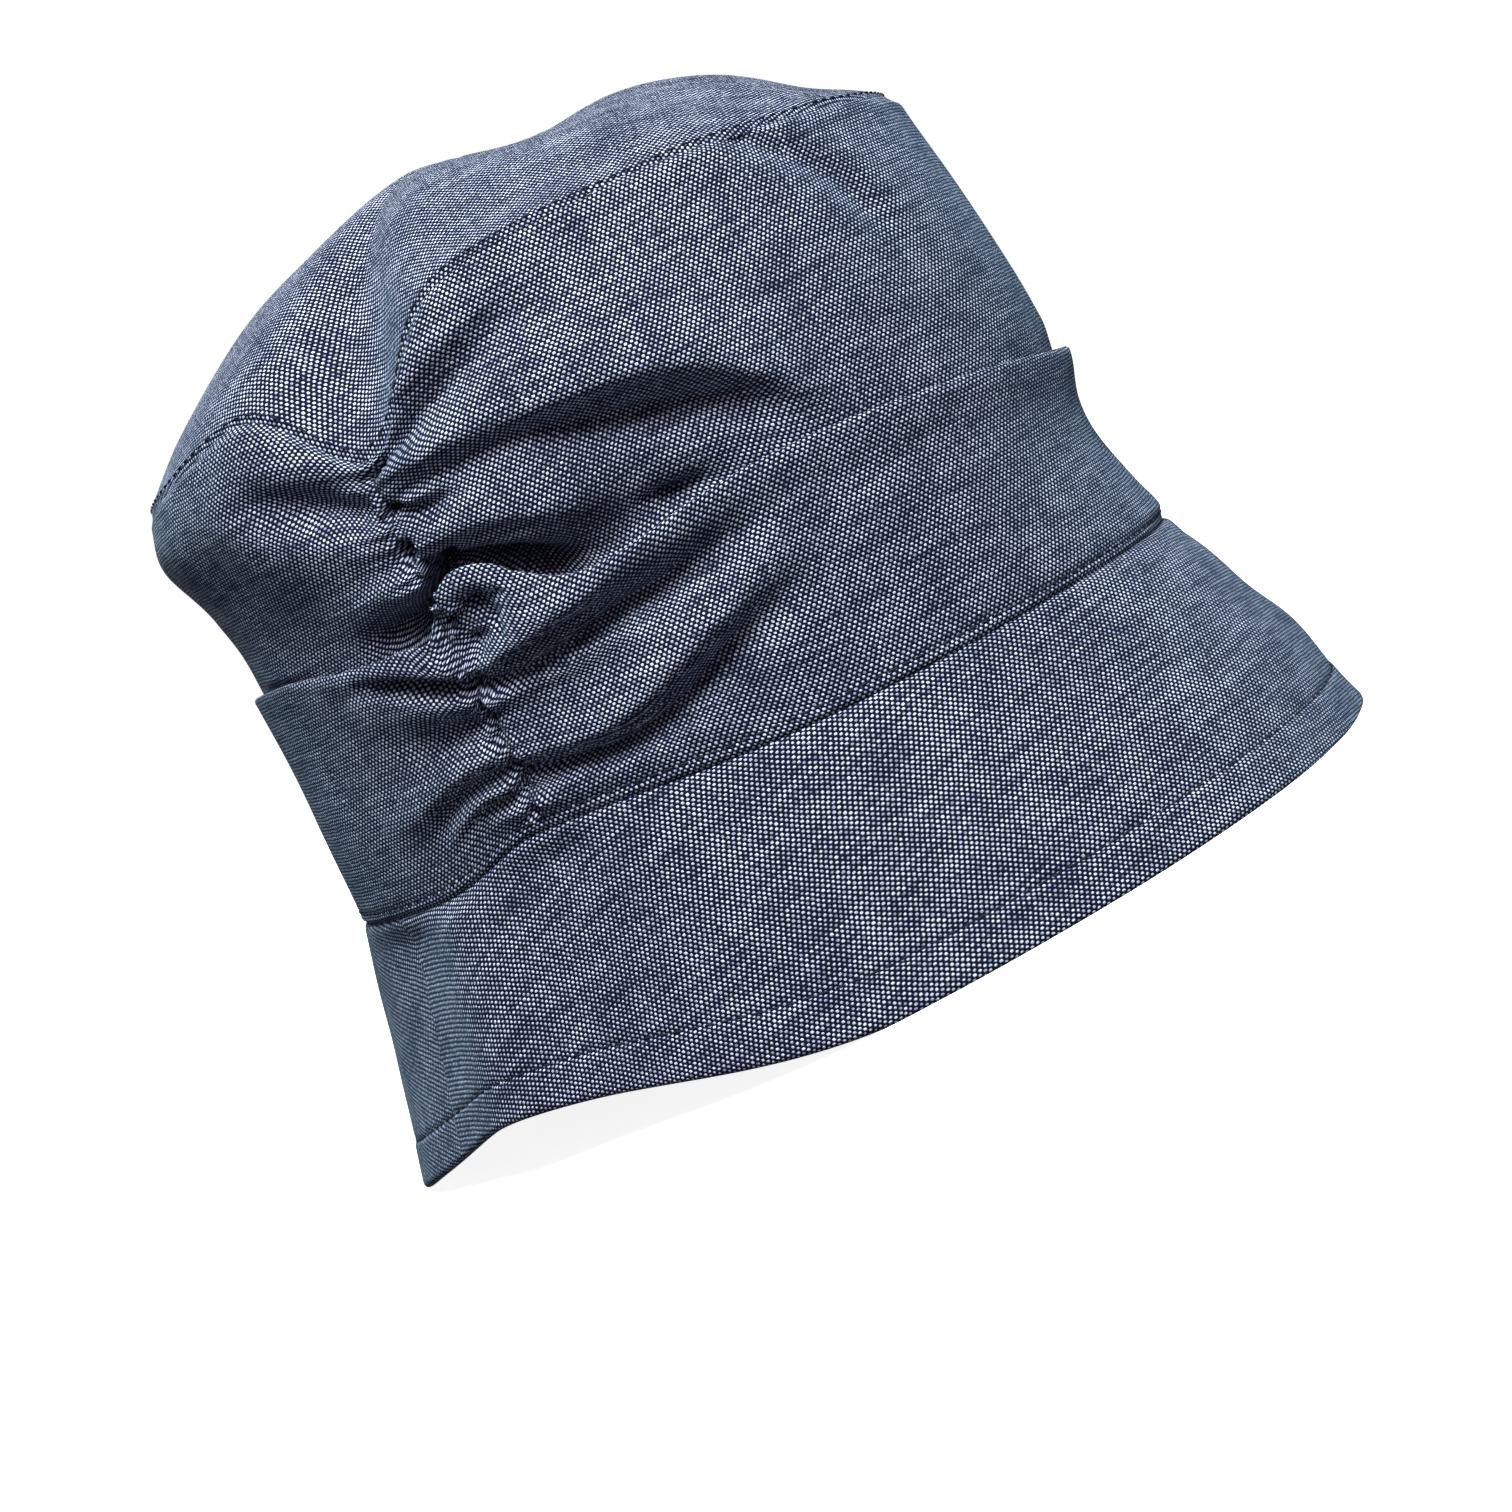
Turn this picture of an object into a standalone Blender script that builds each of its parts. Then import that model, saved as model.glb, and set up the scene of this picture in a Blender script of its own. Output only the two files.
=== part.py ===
"""A soft cloth bucket hat: domed crown tip, tall side crown, folded outer band and a two-layer brim.
Side crown and band are gathered into one upright ruched line behind the wearer's right side.
Front is +X, the wearer's left is +Y, up is +Z. The brim edge stands on z = 0, centred on the origin."""

import math

import bmesh
import bpy

# Driving dimensions, in millimetres and degrees. An outline is front x, back x, half width,
# then its height at the front, the sides and the back.
PLAN_X = -5.0  # where the front half of every oval meets the back half
BRIM_EDGE = (122.6, -122.6, 107.0, 0.0, 0.0, 0.0)
CROWN_SEAM = (99.6, -106.3, 88.0, 57.0, 59.0, 60.7)
BAND_TOP = (96.8, -104.2, 87.0, 103.0, 112.0, 116.0)
CROWN_MID = (95.6, -106.6, 86.0, 127.0, 137.0, 136.0)
CROWN_BULGE = (94.0, -111.4, 83.5, 150.0, 160.0, 152.0)
TIP_SEAM = (91.0, -108.4, 80.0, 170.0, 178.5, 163.5)
TIP_TOP = 203.5
DOME_FRONT = 2.6  # how flat the tip stays before it turns down
DOME_BACK = 2.1

RUCHE_ANGLE = -117.0  # the ruched line, on the wearer's right, behind the side
RUCHE_LIFT = 6.0  # how far it draws the crown seam up
RUCHE_LIFT_ANGLE = -121.0
RUCHE_LIFT_BEHIND, RUCHE_LIFT_AHEAD = 11.0, 27.0  # degrees over which the lift fades
RUCHE_DROP = 24.5  # how far it draws the tip seam down
RUCHE_DROP_BEHIND, RUCHE_DROP_AHEAD = 9.0, 10.8
DROP_SHARES = (0.08, 0.3, 0.65)  # of the drop at the band's top, the crown's middle and its bulge
PUCKER_DEPTH = 4.0
PUCKER_REACH = 9.0  # degrees from the line to the fullest part of a fold
NEST_HEIGHT, NEST_REACH, NEST_HALF = 113.0, 9.0, 15.0  # the bare place for the band's end loop
LOOP_TURNS = (-4.0, -1.0, 2.0, 5.0)  # degrees from the ruched line, along the band's end loop
LOOP_OUT, LOOP_RISE = 5.1, 1.0  # the loop's middle, from the band's top edge
LOOP_DEPTH, LOOP_HALF, LOOP_CLOTH = 4.0, 7.6, 0.9
LOOP_SIDES = 12
BRIM_LIFT = 13.0  # wave in the brim edge below the ruched line
BRIM_LIFT_ANGLE = -134.0
BRIM_LIFT_REACH = 46.0
BRIM_DRAW = 3.0  # how far the brim comes in where it lifts
BRIM_STITCH_SHARE = 0.18  # of the way from the brim's edge to the crown seam

CLOTH = 0.8
BAND_THICK = 1.8  # two layers of cloth, folded at the top
GAP = 0.3
INTERFACING = 0.5
LINING = 0.5
TAPE = 0.5
SWEATBAND = 0.9
TAPE_FOOT, TAPE_TOP = 1.0, 11.0  # heights above the crown seam
SWEATBAND_TOP = 33.0
SWEATBAND_STITCH_AT = 4.0
LABEL_FOOT, LABEL_TOP, LABEL_THICK = 9.0, 29.0, 0.4
LABEL_HALF = 9.0  # degrees to each side of the back
THREAD = 0.55
LEAN = 0.045  # how far the inner bands lean in for each millimetre of height

# Depth of each layer inside the outer face of the band.
CROWN_OUT = -(BAND_THICK + GAP)
CROWN_IN = CROWN_OUT - CLOTH
TAPE_OUT = CROWN_IN - GAP
TAPE_IN = TAPE_OUT - TAPE
LINING_OUT = TAPE_IN - 2 * GAP
LINING_IN = LINING_OUT - LINING
SWEAT_OUT = LINING_IN - 2 * GAP - TAPE - 0.1
SWEAT_IN = SWEAT_OUT - SWEATBAND
LABEL_OUT = SWEAT_IN - 0.7

CLOTH_COLOUR = (0.115, 0.135, 0.2)
UNDER_COLOUR = (0.1, 0.12, 0.18)
STIFFENER_COLOUR = (0.75, 0.74, 0.7)
LINING_COLOUR = (0.5, 0.52, 0.56)
TAPE_COLOUR = (0.6, 0.6, 0.58)
SWEATBAND_COLOUR = (0.09, 0.1, 0.14)
LABEL_COLOUR = (0.8, 0.8, 0.78)
THREAD_COLOUR = (0.42, 0.45, 0.52)
CLOTH_ROUGHNESS, THREAD_ROUGHNESS = 0.9, 0.6

ANGLE_STEP = 4.5  # beside the ruched line
NEAR_STEPS = 7  # to each side of it
REST_STEPS = 38  # round the rest of the hat
BAND_STEPS = 7
UPPER_STEPS = 7
DOME_STEPS = 6
BRIM_STEPS = 5


def angles_round():
    """Angles around the hat, closer together beside the ruched line."""
    near = [RUCHE_ANGLE + ANGLE_STEP * i for i in range(-NEAR_STEPS, NEAR_STEPS + 1)]
    rest = 360.0 - 2 * NEAR_STEPS * ANGLE_STEP
    return near + [near[-1] + rest * (i + 1) / REST_STEPS for i in range(REST_STEPS - 1)]


def turned(angle, start):
    """Signed degrees from start to angle, from -180 to 180."""
    return (angle - start + 180.0) % 360.0 - 180.0


def from_ruche(angle):
    return turned(angle, RUCHE_ANGLE)


def on_oval(outline, angle, offset):
    """A point on an outline grown by offset."""
    front, back, half, z_front, z_side, z_back = outline
    c, s = math.cos(math.radians(angle)), math.sin(math.radians(angle))
    reach = front - PLAN_X if c > 0 else PLAN_X - back
    z_end = z_front if c > 0 else z_back
    x = PLAN_X + (reach + offset) * c
    y = (half + offset) * s
    return [x, y, z_side + (z_end - z_side) * c * c]


def moved_out(point, angle, by):
    c, s = math.cos(math.radians(angle)), math.sin(math.radians(angle))
    return [point[0] + by * c, point[1] + by * s, point[2]]


def brim_edge(angle, offset):
    p = on_oval(BRIM_EDGE, angle, offset)
    d = turned(angle, BRIM_LIFT_ANGLE)
    if abs(d) < BRIM_LIFT_REACH:
        wave = math.cos(math.radians(90.0 * d / BRIM_LIFT_REACH)) ** 2
        p[2] += BRIM_LIFT * wave
        p = moved_out(p, angle, -BRIM_DRAW * wave)
    return p


def crown_seam(angle, offset):
    p = on_oval(CROWN_SEAM, angle, offset)
    d = turned(angle, RUCHE_LIFT_ANGLE)
    reach = RUCHE_LIFT_AHEAD if d > 0 else RUCHE_LIFT_BEHIND
    p[2] += RUCHE_LIFT * math.exp(-((d / reach) ** 2))
    return p


def tip_drop(angle):
    """How far the ruched line draws the tip seam down."""
    d = from_ruche(angle)
    reach = RUCHE_DROP_AHEAD if d > 0 else RUCHE_DROP_BEHIND
    return RUCHE_DROP * math.exp(-((d / reach) ** 2))


def tip_seam(angle, offset):
    p = on_oval(TIP_SEAM, angle, offset)
    p[2] -= tip_drop(angle)
    return p


def spline(keys, t):
    """A smooth curve through the keys; t counts keys."""
    i = min(int(t), len(keys) - 2)
    f = t - i
    a, b = keys[i], keys[i + 1]
    before = keys[i - 1] if i else [2 * p - q for p, q in zip(a, b)]
    after = keys[i + 2] if i + 2 < len(keys) else [2 * q - p for p, q in zip(a, b)]
    out = []
    for p0, p1, p2, p3 in zip(before, a, b, after):
        m1, m2 = (p2 - p0) / 2, (p3 - p1) / 2
        out.append(
            (2 * f**3 - 3 * f**2 + 1) * p1
            + (f**3 - 2 * f**2 + f) * m1
            + (3 * f**2 - 2 * f**3) * p2
            + (f**3 - f**2) * m2
        )
    return out


def pucker(angle, t, z):
    """How far the folds beside the ruched line stand out, with a bare place for the band's end loop."""
    d = abs(from_ruche(angle)) / PUCKER_REACH
    side = d * math.exp(1.0 - d)
    rise = t if t < 1 else 1 + (t - 1) / 3
    fold = 0.5 - 0.5 * math.cos(4 * math.pi * rise)
    end_fade = 1.0 - max(0.0, rise - 1.7) / 0.3
    nest = math.exp(-((from_ruche(angle) / NEST_REACH) ** 2) - ((z - NEST_HEIGHT) / NEST_HALF) ** 2)
    return PUCKER_DEPTH * side * fold * end_fade * (1.0 - nest)


def crown_wall(angle, t, offset, folds=True):
    """The wall of the crown: t is 0 at the crown seam, 1 at the band's top and 4 at the tip seam."""
    keys = [crown_seam(angle, offset)]
    keys += [on_oval(level, angle, offset) for level in (BAND_TOP, CROWN_MID, CROWN_BULGE)]
    for key, share in zip(keys[1:], DROP_SHARES):
        key[2] -= tip_drop(angle) * share
    keys.append(tip_seam(angle, offset))
    p = spline(keys, t)
    if folds:
        p = moved_out(p, angle, pucker(angle, t, p[2]))
    return p


def dome(angle, share, offset):
    """The crown tip: share is 1 at the tip seam and 0 at the middle."""
    rim = tip_seam(angle, offset)
    top = TIP_TOP + offset - CROWN_OUT
    x = PLAN_X + (rim[0] - PLAN_X) * share
    lean = 0.5 + 0.5 * math.cos(math.radians(angle))
    power = DOME_BACK + (DOME_FRONT - DOME_BACK) * lean
    return [x, rim[1] * share, rim[2] + (top - rim[2]) * (1.0 - share**power)]


def brim_face(angle, t, offset):
    """The brim: t is 0 at the edge and 1 at the crown seam."""
    a, b = brim_edge(angle, offset), crown_seam(angle, offset)
    return [p + (q - p) * t for p, q in zip(a, b)]


def band_rows():
    return [i / BAND_STEPS for i in range(BAND_STEPS + 1)]


def wall_rows():
    return band_rows() + [1 + 3 * (i + 1) / UPPER_STEPS for i in range(UPPER_STEPS)]


def on_facets(angle, t, offset):
    """A point on the wall as the flat facets between its rows make it."""
    rows = wall_rows()
    i = max(k for k in range(len(rows) - 1) if rows[k] <= t)
    f = (t - rows[i]) / (rows[i + 1] - rows[i])
    a = crown_wall(angle, rows[i], offset)
    b = crown_wall(angle, rows[i + 1], offset)
    return [p + (q - p) * f for p, q in zip(a, b)]


def raised(point, dz):
    return [point[0], point[1], point[2] + dz]


def make_object(name, points, faces, colour, roughness):
    mesh = bpy.data.meshes.new(name)
    mesh.from_pydata([[0.001 * c for c in p] for p in points], [], faces)
    bm = bmesh.new()
    bm.from_mesh(mesh)
    bmesh.ops.recalc_face_normals(bm, faces=bm.faces)
    bmesh.ops.triangulate(bm, faces=bm.faces, quad_method="FIXED")
    bm.to_mesh(mesh)
    bm.free()
    obj = bpy.data.objects.new(name, mesh)
    bpy.context.scene.collection.objects.link(obj)
    material = bpy.data.materials.new(name)
    material.use_nodes = True
    shader = material.node_tree.nodes["Principled BSDF"]
    shader.inputs["Base Color"].default_value = (*colour, 1.0)
    shader.inputs["Roughness"].default_value = roughness
    mesh.materials.append(material)
    return obj


def rising_pair(points, a, b, c, d):
    """Two triangles for a quad from a-b to d-c, cut the same way on every nested layer."""
    if points[a][2] <= points[b][2]:
        return [(a, b, c), (a, c, d)]
    return [(a, b, d), (b, c, d)]


def ring(name, sections, colour, roughness=CLOTH_ROUGHNESS):
    """A closed ring: sections holds one loop of points for each angle."""
    n, k = len(sections), len(sections[0])
    points = [p for section in sections for p in section]
    faces = []
    for j in range(n):
        for i in range(k):
            m, up = (j + 1) % n, (i + 1) % k
            faces += rising_pair(points, j * k + i, j * k + up, m * k + up, m * k + i)
    return make_object(name, points, faces, colour, roughness)


def strip(name, sections, colour, roughness=CLOTH_ROUGHNESS):
    """An open run of loops, closed with a face at each end."""
    n, k = len(sections), len(sections[0])
    points = [p for section in sections for p in section]
    faces = [tuple(range(k)), tuple((n - 1) * k + i for i in range(k))]
    for j in range(n - 1):
        for i in range(k):
            a, b = j * k + i, j * k + (i + 1) % k
            faces.append((a, b, b + k, a + k))
    return make_object(name, points, faces, colour, roughness)


def cap(name, columns, colour):
    """A dome: each column runs from near the middle on top, over the rim, to near the middle below."""
    n, k = len(columns), len(columns[0])
    points = [p for column in columns for p in column]
    top = [sum(c[0][i] for c in columns) / n for i in range(3)]
    low = [sum(c[-1][i] for c in columns) / n for i in range(3)]
    points += [top, low]
    faces = []
    for j in range(n):
        m = (j + 1) % n
        for i in range(k - 1):
            faces += rising_pair(points, j * k + i, j * k + i + 1, m * k + i + 1, m * k + i)
        faces.append((n * k, j * k, m * k))
        faces.append((n * k + 1, m * k + k - 1, j * k + k - 1))
    return make_object(name, points, faces, colour, CLOTH_ROUGHNESS)


def make_crown_side():
    sections = []
    for angle in angles_round():
        rows = wall_rows()
        outer = [crown_wall(angle, t, CROWN_OUT) for t in rows]
        inner = [crown_wall(angle, t, CROWN_IN) for t in rows]
        sections.append(outer + inner[::-1])
    ring("crown_side", sections, CLOTH_COLOUR)


def make_outer_band():
    sections = []
    for angle in angles_round():
        outer = [crown_wall(angle, t, 0.0) for t in band_rows()]
        inner = [crown_wall(angle, t, -BAND_THICK) for t in band_rows()]
        top = raised([(p + q) / 2 for p, q in zip(outer[-1], inner[-1])], 0.9)
        sections.append(outer + [top] + inner[::-1])
    ring("outer_band", sections, CLOTH_COLOUR)


def make_band_end_loop():
    """A flattened open tube, lying along the band beside the ruched line."""
    n = LOOP_SIDES
    sections = []
    for turn in LOOP_TURNS:
        angle = RUCHE_ANGLE + turn
        base = crown_wall(angle, 1.0, 0.0, folds=False)
        outer, inner = [], []
        for i in range(n):
            a = 2 * math.pi * i / n
            for loop, thin in ((outer, 0.0), (inner, LOOP_CLOTH)):
                p = moved_out(base, angle, LOOP_OUT + (LOOP_DEPTH - thin) * math.cos(a))
                loop.append(raised(p, LOOP_RISE + (LOOP_HALF - thin) * math.sin(a)))
        sections.append((outer, inner))
    points, faces = [], []
    for outer, inner in sections:
        points += outer + inner
    for j in range(len(sections) - 1):
        for i in range(n):
            m = (i + 1) % n
            a, b = 2 * n * j, 2 * n * (j + 1)
            faces.append((a + i, a + m, b + m, b + i))
            faces.append((a + n + i, b + n + i, b + n + m, a + n + m))
    last = 2 * n * (len(sections) - 1)
    for i in range(n):
        m = (i + 1) % n
        faces.append((i, n + i, n + m, m))
        faces.append((last + i, last + m, last + n + m, last + n + i))
    make_object("band_end_loop", points, faces, CLOTH_COLOUR, CLOTH_ROUGHNESS)


def make_crown_tip():
    columns = []
    shares = [(i + 1) / DOME_STEPS for i in range(DOME_STEPS)]
    for angle in angles_round():
        outer = [raised(dome(angle, s, CROWN_OUT), GAP) for s in shares]
        inner = [raised(dome(angle, s, CROWN_IN), GAP) for s in shares]
        columns.append(outer + inner[::-1])
    cap("crown_tip", columns, CLOTH_COLOUR)


def make_brim():
    """Outer cloth with a flat turned foot, stiffener, and under cloth."""
    rows = [i / BRIM_STEPS for i in range(BRIM_STEPS + 1)]
    stiff_out = -(CLOTH + GAP)
    under_out = stiff_out - INTERFACING - GAP
    under_in = under_out - CLOTH
    top, stiff, under = [], [], []
    for angle in angles_round():
        outer = [brim_face(angle, t, 0.0) for t in rows]
        inner = [brim_face(angle, t, -CLOTH) for t in rows]
        outer[-1] = raised(outer[-1], -GAP)
        inner[-1] = raised(inner[-1], -GAP)
        inner[0] = raised(inner[0], CLOTH)
        lip = brim_face(angle, 0.0, under_in)
        top.append(outer + inner[::-1] + [raised(lip, CLOTH), lip])
        for held, out, thick in ((stiff, stiff_out, INTERFACING), (under, under_out, CLOTH)):
            face = [brim_face(angle, t, out) for t in rows]
            back = [brim_face(angle, t, out - thick) for t in rows]
            for side in (face, back):
                side[0] = raised(side[0], CLOTH + GAP)
                side[-1] = raised(side[-1], -GAP)
            held.append(face + back[::-1])
    ring("brim_top", top, CLOTH_COLOUR)
    ring("brim_interfacing", stiff, STIFFENER_COLOUR)
    ring("brim_under", under, UNDER_COLOUR)


def make_lining():
    rows = [0.02, 1.0, 2.0, 3.0, 3.97]
    shares = [(i + 1) / 5 for i in range(5)]
    side, columns = [], []
    for angle in angles_round():
        outer = [crown_wall(angle, t, LINING_OUT, folds=False) for t in rows]
        inner = [crown_wall(angle, t, LINING_IN, folds=False) for t in rows]
        side.append(outer + inner[::-1])
        outer = [dome(angle, s, LINING_OUT) for s in shares]
        inner = [dome(angle, s, LINING_IN) for s in shares]
        columns.append(outer + inner[::-1])
    ring("crown_lining_side", side, LINING_COLOUR)
    cap("crown_lining_tip", columns, LINING_COLOUR)


def wall_ring(name, low, high, out, thick, colour, steps):
    """A plain band of tape inside the crown, between two heights above the crown seam."""
    sections = []
    for angle in angles_round():
        foot = crown_wall(angle, 0.0, out, folds=False)
        back = crown_wall(angle, 0.0, out - thick, folds=False)
        rise = [low + (high - low) * i / steps for i in range(steps + 1)]
        outer = [raised(moved_out(foot, angle, -LEAN * z), z) for z in rise]
        inner = [raised(moved_out(back, angle, -LEAN * z), z) for z in rise]
        sections.append(outer + inner[::-1])
    ring(name, sections, colour)


def make_tapes():
    wall_ring("crown_seam_tape", TAPE_FOOT, TAPE_TOP, LINING_IN - GAP, TAPE, TAPE_COLOUR, 1)
    wall_ring("sweatband", TAPE_FOOT, SWEATBAND_TOP, SWEAT_OUT, SWEATBAND, SWEATBAND_COLOUR, 3)
    tip = []
    for angle in angles_round():
        rows = (3.72, 3.96)
        outer = [crown_wall(angle, t, TAPE_OUT, folds=False) for t in rows]
        inner = [crown_wall(angle, t, TAPE_IN, folds=False) for t in rows]
        tip.append(outer + inner[::-1])
    ring("tip_seam_tape", tip, TAPE_COLOUR)
    sections = []
    across = [RUCHE_ANGLE - ANGLE_STEP, RUCHE_ANGLE, RUCHE_ANGLE + ANGLE_STEP]
    for t in wall_rows()[1:-2]:
        outer = [crown_wall(angle, t, TAPE_OUT, folds=False) for angle in across]
        inner = [crown_wall(angle, t, TAPE_IN, folds=False) for angle in across]
        sections.append(outer + inner[::-1])
    strip("gather_tape", sections, TAPE_COLOUR)


def thread_section(point_at, angle):
    """A three-sided thread lying on a face: two edges near the cloth and one crest."""
    low = point_at(angle, GAP, -THREAD / 2)
    high = point_at(angle, GAP, THREAD / 2)
    crest = point_at(angle, GAP + THREAD, 0.0)
    return [low, high, crest]


def make_threads():
    def above_seam(angle, out, rise):
        return raised(on_facets(angle, 0.06, out + GAP), rise)

    def above_edge(angle, out, rise):
        return raised(brim_face(angle, BRIM_STITCH_SHARE, out), rise)

    def beside_tip(angle, out, rise):
        rim = dome(angle, 1.0, CROWN_OUT + out)
        next_in = dome(angle, 1 - 1 / DOME_STEPS, CROWN_OUT + out)
        share = 0.16 + 0.02 * rise
        p = [a + (b - a) * share for a, b in zip(rim, next_in)]
        return raised(p, GAP + 0.5 * out)

    def in_sweatband(angle, out, rise):
        p = crown_wall(angle, 0.0, SWEAT_IN - out, folds=False)
        return raised(moved_out(p, angle, -LEAN * SWEATBAND_STITCH_AT), SWEATBAND_STITCH_AT + rise)

    for name, point_at in (
        ("band_topstitch", above_seam),
        ("brim_topstitch", above_edge),
        ("tip_topstitch", beside_tip),
        ("sweatband_stitch", in_sweatband),
    ):
        sections = [thread_section(point_at, angle) for angle in angles_round()]
        ring(name, sections, THREAD_COLOUR, THREAD_ROUGHNESS)

    sections = []
    for t in [0.16] + [0.1 * i for i in range(2, 10)] + [1.05, 1.12] + [1.5, 2, 2.5, 3, 3.5, 3.9]:
        base = GAP if t < 1.1 else CROWN_OUT + GAP
        low = crown_wall(RUCHE_ANGLE - 0.2, t, base, folds=False)
        high = crown_wall(RUCHE_ANGLE + 0.2, t, base, folds=False)
        crest = crown_wall(RUCHE_ANGLE, t, base + THREAD, folds=False)
        sections.append([low, high, crest])
    strip("gathering_thread", sections, THREAD_COLOUR, THREAD_ROUGHNESS)


def make_care_label():
    face, back = LABEL_OUT, LABEL_OUT - LABEL_THICK
    corners = ((LABEL_FOOT, face), (LABEL_TOP, face), (LABEL_TOP, back), (LABEL_FOOT, back))
    sections = []
    for angle in (180.0 - LABEL_HALF, 180.0, 180.0 + LABEL_HALF):
        section = []
        for z, out in corners:
            p = crown_wall(angle, 0.0, out, folds=False)
            section.append(raised(moved_out(p, angle, -LEAN * z), z))
        sections.append(section)
    strip("care_label", sections, LABEL_COLOUR)


def build():
    for obj in list(bpy.data.objects):
        bpy.data.objects.remove(obj)
    make_crown_side()
    make_outer_band()
    make_band_end_loop()
    make_crown_tip()
    make_brim()
    make_lining()
    make_tapes()
    make_threads()
    make_care_label()


build()
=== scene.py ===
"""Looks for the gathered bucket hat: gathered cloth, stitches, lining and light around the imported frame.

Angles are degrees round the hat from its front, positive towards the wearer's left. Heights and
depths are millimetres, and METRE turns them into the frame's units.
"""

import math

import bpy
import mathutils
import numpy as np
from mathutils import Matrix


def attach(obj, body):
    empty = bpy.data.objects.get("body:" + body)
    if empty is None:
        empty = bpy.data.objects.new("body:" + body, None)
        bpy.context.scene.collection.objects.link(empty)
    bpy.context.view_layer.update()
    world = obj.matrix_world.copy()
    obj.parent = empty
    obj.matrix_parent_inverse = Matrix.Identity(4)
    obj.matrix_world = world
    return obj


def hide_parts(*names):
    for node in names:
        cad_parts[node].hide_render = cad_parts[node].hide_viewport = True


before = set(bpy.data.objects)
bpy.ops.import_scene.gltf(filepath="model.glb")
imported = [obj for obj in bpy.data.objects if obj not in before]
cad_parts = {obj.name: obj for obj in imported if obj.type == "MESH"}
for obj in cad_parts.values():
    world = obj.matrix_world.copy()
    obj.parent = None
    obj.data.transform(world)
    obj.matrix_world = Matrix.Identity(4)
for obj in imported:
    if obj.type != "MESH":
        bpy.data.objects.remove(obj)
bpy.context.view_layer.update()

METRE = 0.001

# The hat's outlines, as in the CAD: front x, back x, half width, then the height at the front,
# the sides and the back.
PLAN_X = -5.0
BRIM_EDGE = (122.6, -122.6, 107.0, 0.0, 0.0, 0.0)
CROWN_SEAM = (99.6, -106.3, 88.0, 57.0, 59.0, 60.7)
BAND_TOP = (96.8, -104.2, 87.0, 103.0, 112.0, 116.0)
CROWN_MID = (95.6, -106.6, 86.0, 127.0, 137.0, 136.0)
CROWN_BULGE = (94.0, -111.4, 83.5, 150.0, 160.0, 152.0)
TIP_SEAM = (91.0, -108.4, 80.0, 170.0, 178.5, 163.5)
TIP_TOP = 203.5
DOME_FRONT, DOME_BACK = 2.6, 2.1

RUCHE = -118.5
MM_PER_DEGREE = 1.72
SEAM_LIFT, SEAM_LIFT_AT = 6.0, -121.0
SEAM_LIFT_BEHIND, SEAM_LIFT_AHEAD = 11.0, 27.0
TIP_DROP, TIP_DROP_AT = 24.5, -117.0
TIP_DROP_BEHIND, TIP_DROP_AHEAD = 9.0, 10.8
BRIM_LIFT, BRIM_LIFT_AT, BRIM_LIFT_REACH = 13.0, -134.0, 46.0
STITCH_INSET = 11.0
BRIM_SLANT = 62.0
BAND_ROW, TIP_ROW = 2.6, 1.9
HEM_ROUND, FOLD_ROUND = 1.1, 0.95
SEAM_SINK, SEAM_SOFT = 1.1, 1.5
FAN, FAN_GRAIN = 0.32, 33.0

AMBIENT = 0.006
CONTRAST = 0.87  # below 1 deepens the shadows of the folds and the gaps of the weave
# Each lamp: name, direction from the hat, distance, size, power and colour.
LAMPS = (
    ("key", (0.1, -0.54, 0.82), 1.3, 0.8, 33.5, (0.9, 0.955, 0.97)),
    ("side", (0.3, -0.9, 0.2), 1.6, 0.7, 2.1, (1.0, 0.8, 0.86)),
    ("front", (0.9, -0.3, 0.5), 1.5, 0.7, 2.3, (0.68, 0.96, 1.0)),
    ("rear", (-0.9, -0.35, 0.1), 1.5, 0.7, 1.5, (0.74, 0.94, 1.0)),
    ("far", (-0.25, 1.0, 0.3), 1.6, 0.9, 15.0, (0.95, 0.97, 1.0)),
)

# Thicknesses, and how far each layer lies out from the outlines, or in from them if negative.
CLOTH, LEAF, LINING_CLOTH, TAPE_CLOTH = 0.7, 0.5, 0.4, 0.35
CROWN_OUT = -2.1
BRIM_UNDER_OUT = -1.75
INTERFACING, INTERFACING_OUT = 0.45, -1.0
LINING_GAP, GATHER_TAPE_GAP, TIP_TAPE_GAP = 2.6, 1.5, 1.0
CROWN_TAPE, CROWN_TAPE_OUT, CROWN_TAPE_TOP = 0.4, -5.6, 11.0
SWEATBAND, SWEATBAND_OUT, SWEATBAND_TOP = 0.8, -6.4, 33.0
SWEATBAND_STITCH_AT = 4.0
INNER_FOOT, INNER_LEAN, INNER_DRAW = 1.0, 0.045, 4.5
LABEL_FOOT, LABEL_TOP, LABEL_OUT = 9.0, 29.0, -7.7
LABEL_HALF = 9.0  # degrees to each side of the back
BAND_TURNED_IN = 42.0

WARP_PITCH, WEFT_PITCH = 0.66, 0.78

# Columns of points round the hat: their step beside the ruched line, where that begins and ends,
# and how many the rest of the way round.
FINE_STEP, FINE_FROM, FINE_TO, OTHER_COLUMNS = 0.36, -152.0, -58.0, 162
BESIDE = np.array([-1.0, 0.0, 1.0])
UP = np.array([0.0, 0.0, 1.0])


# -------- curves and base surfaces


def turned(angle, start):
    return (angle - start + 180.0) % 360.0 - 180.0


def bell(x):
    return np.exp(-(x * x))


def step(x):
    """0 below 0, 1 above 1, smooth between."""
    x = np.clip(x, 0.0, 1.0)
    return x * x * (3.0 - 2.0 * x)


def cubic(f, start, start_slope, end, end_slope):
    """The cubic from start to end, f of the way along, with those slopes at its ends."""
    low = (2 * f**3 - 3 * f**2 + 1) * start + (f**3 - 2 * f**2 + f) * start_slope
    return low + (3 * f**2 - 2 * f**3) * end + (f**3 - f**2) * end_slope


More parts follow.
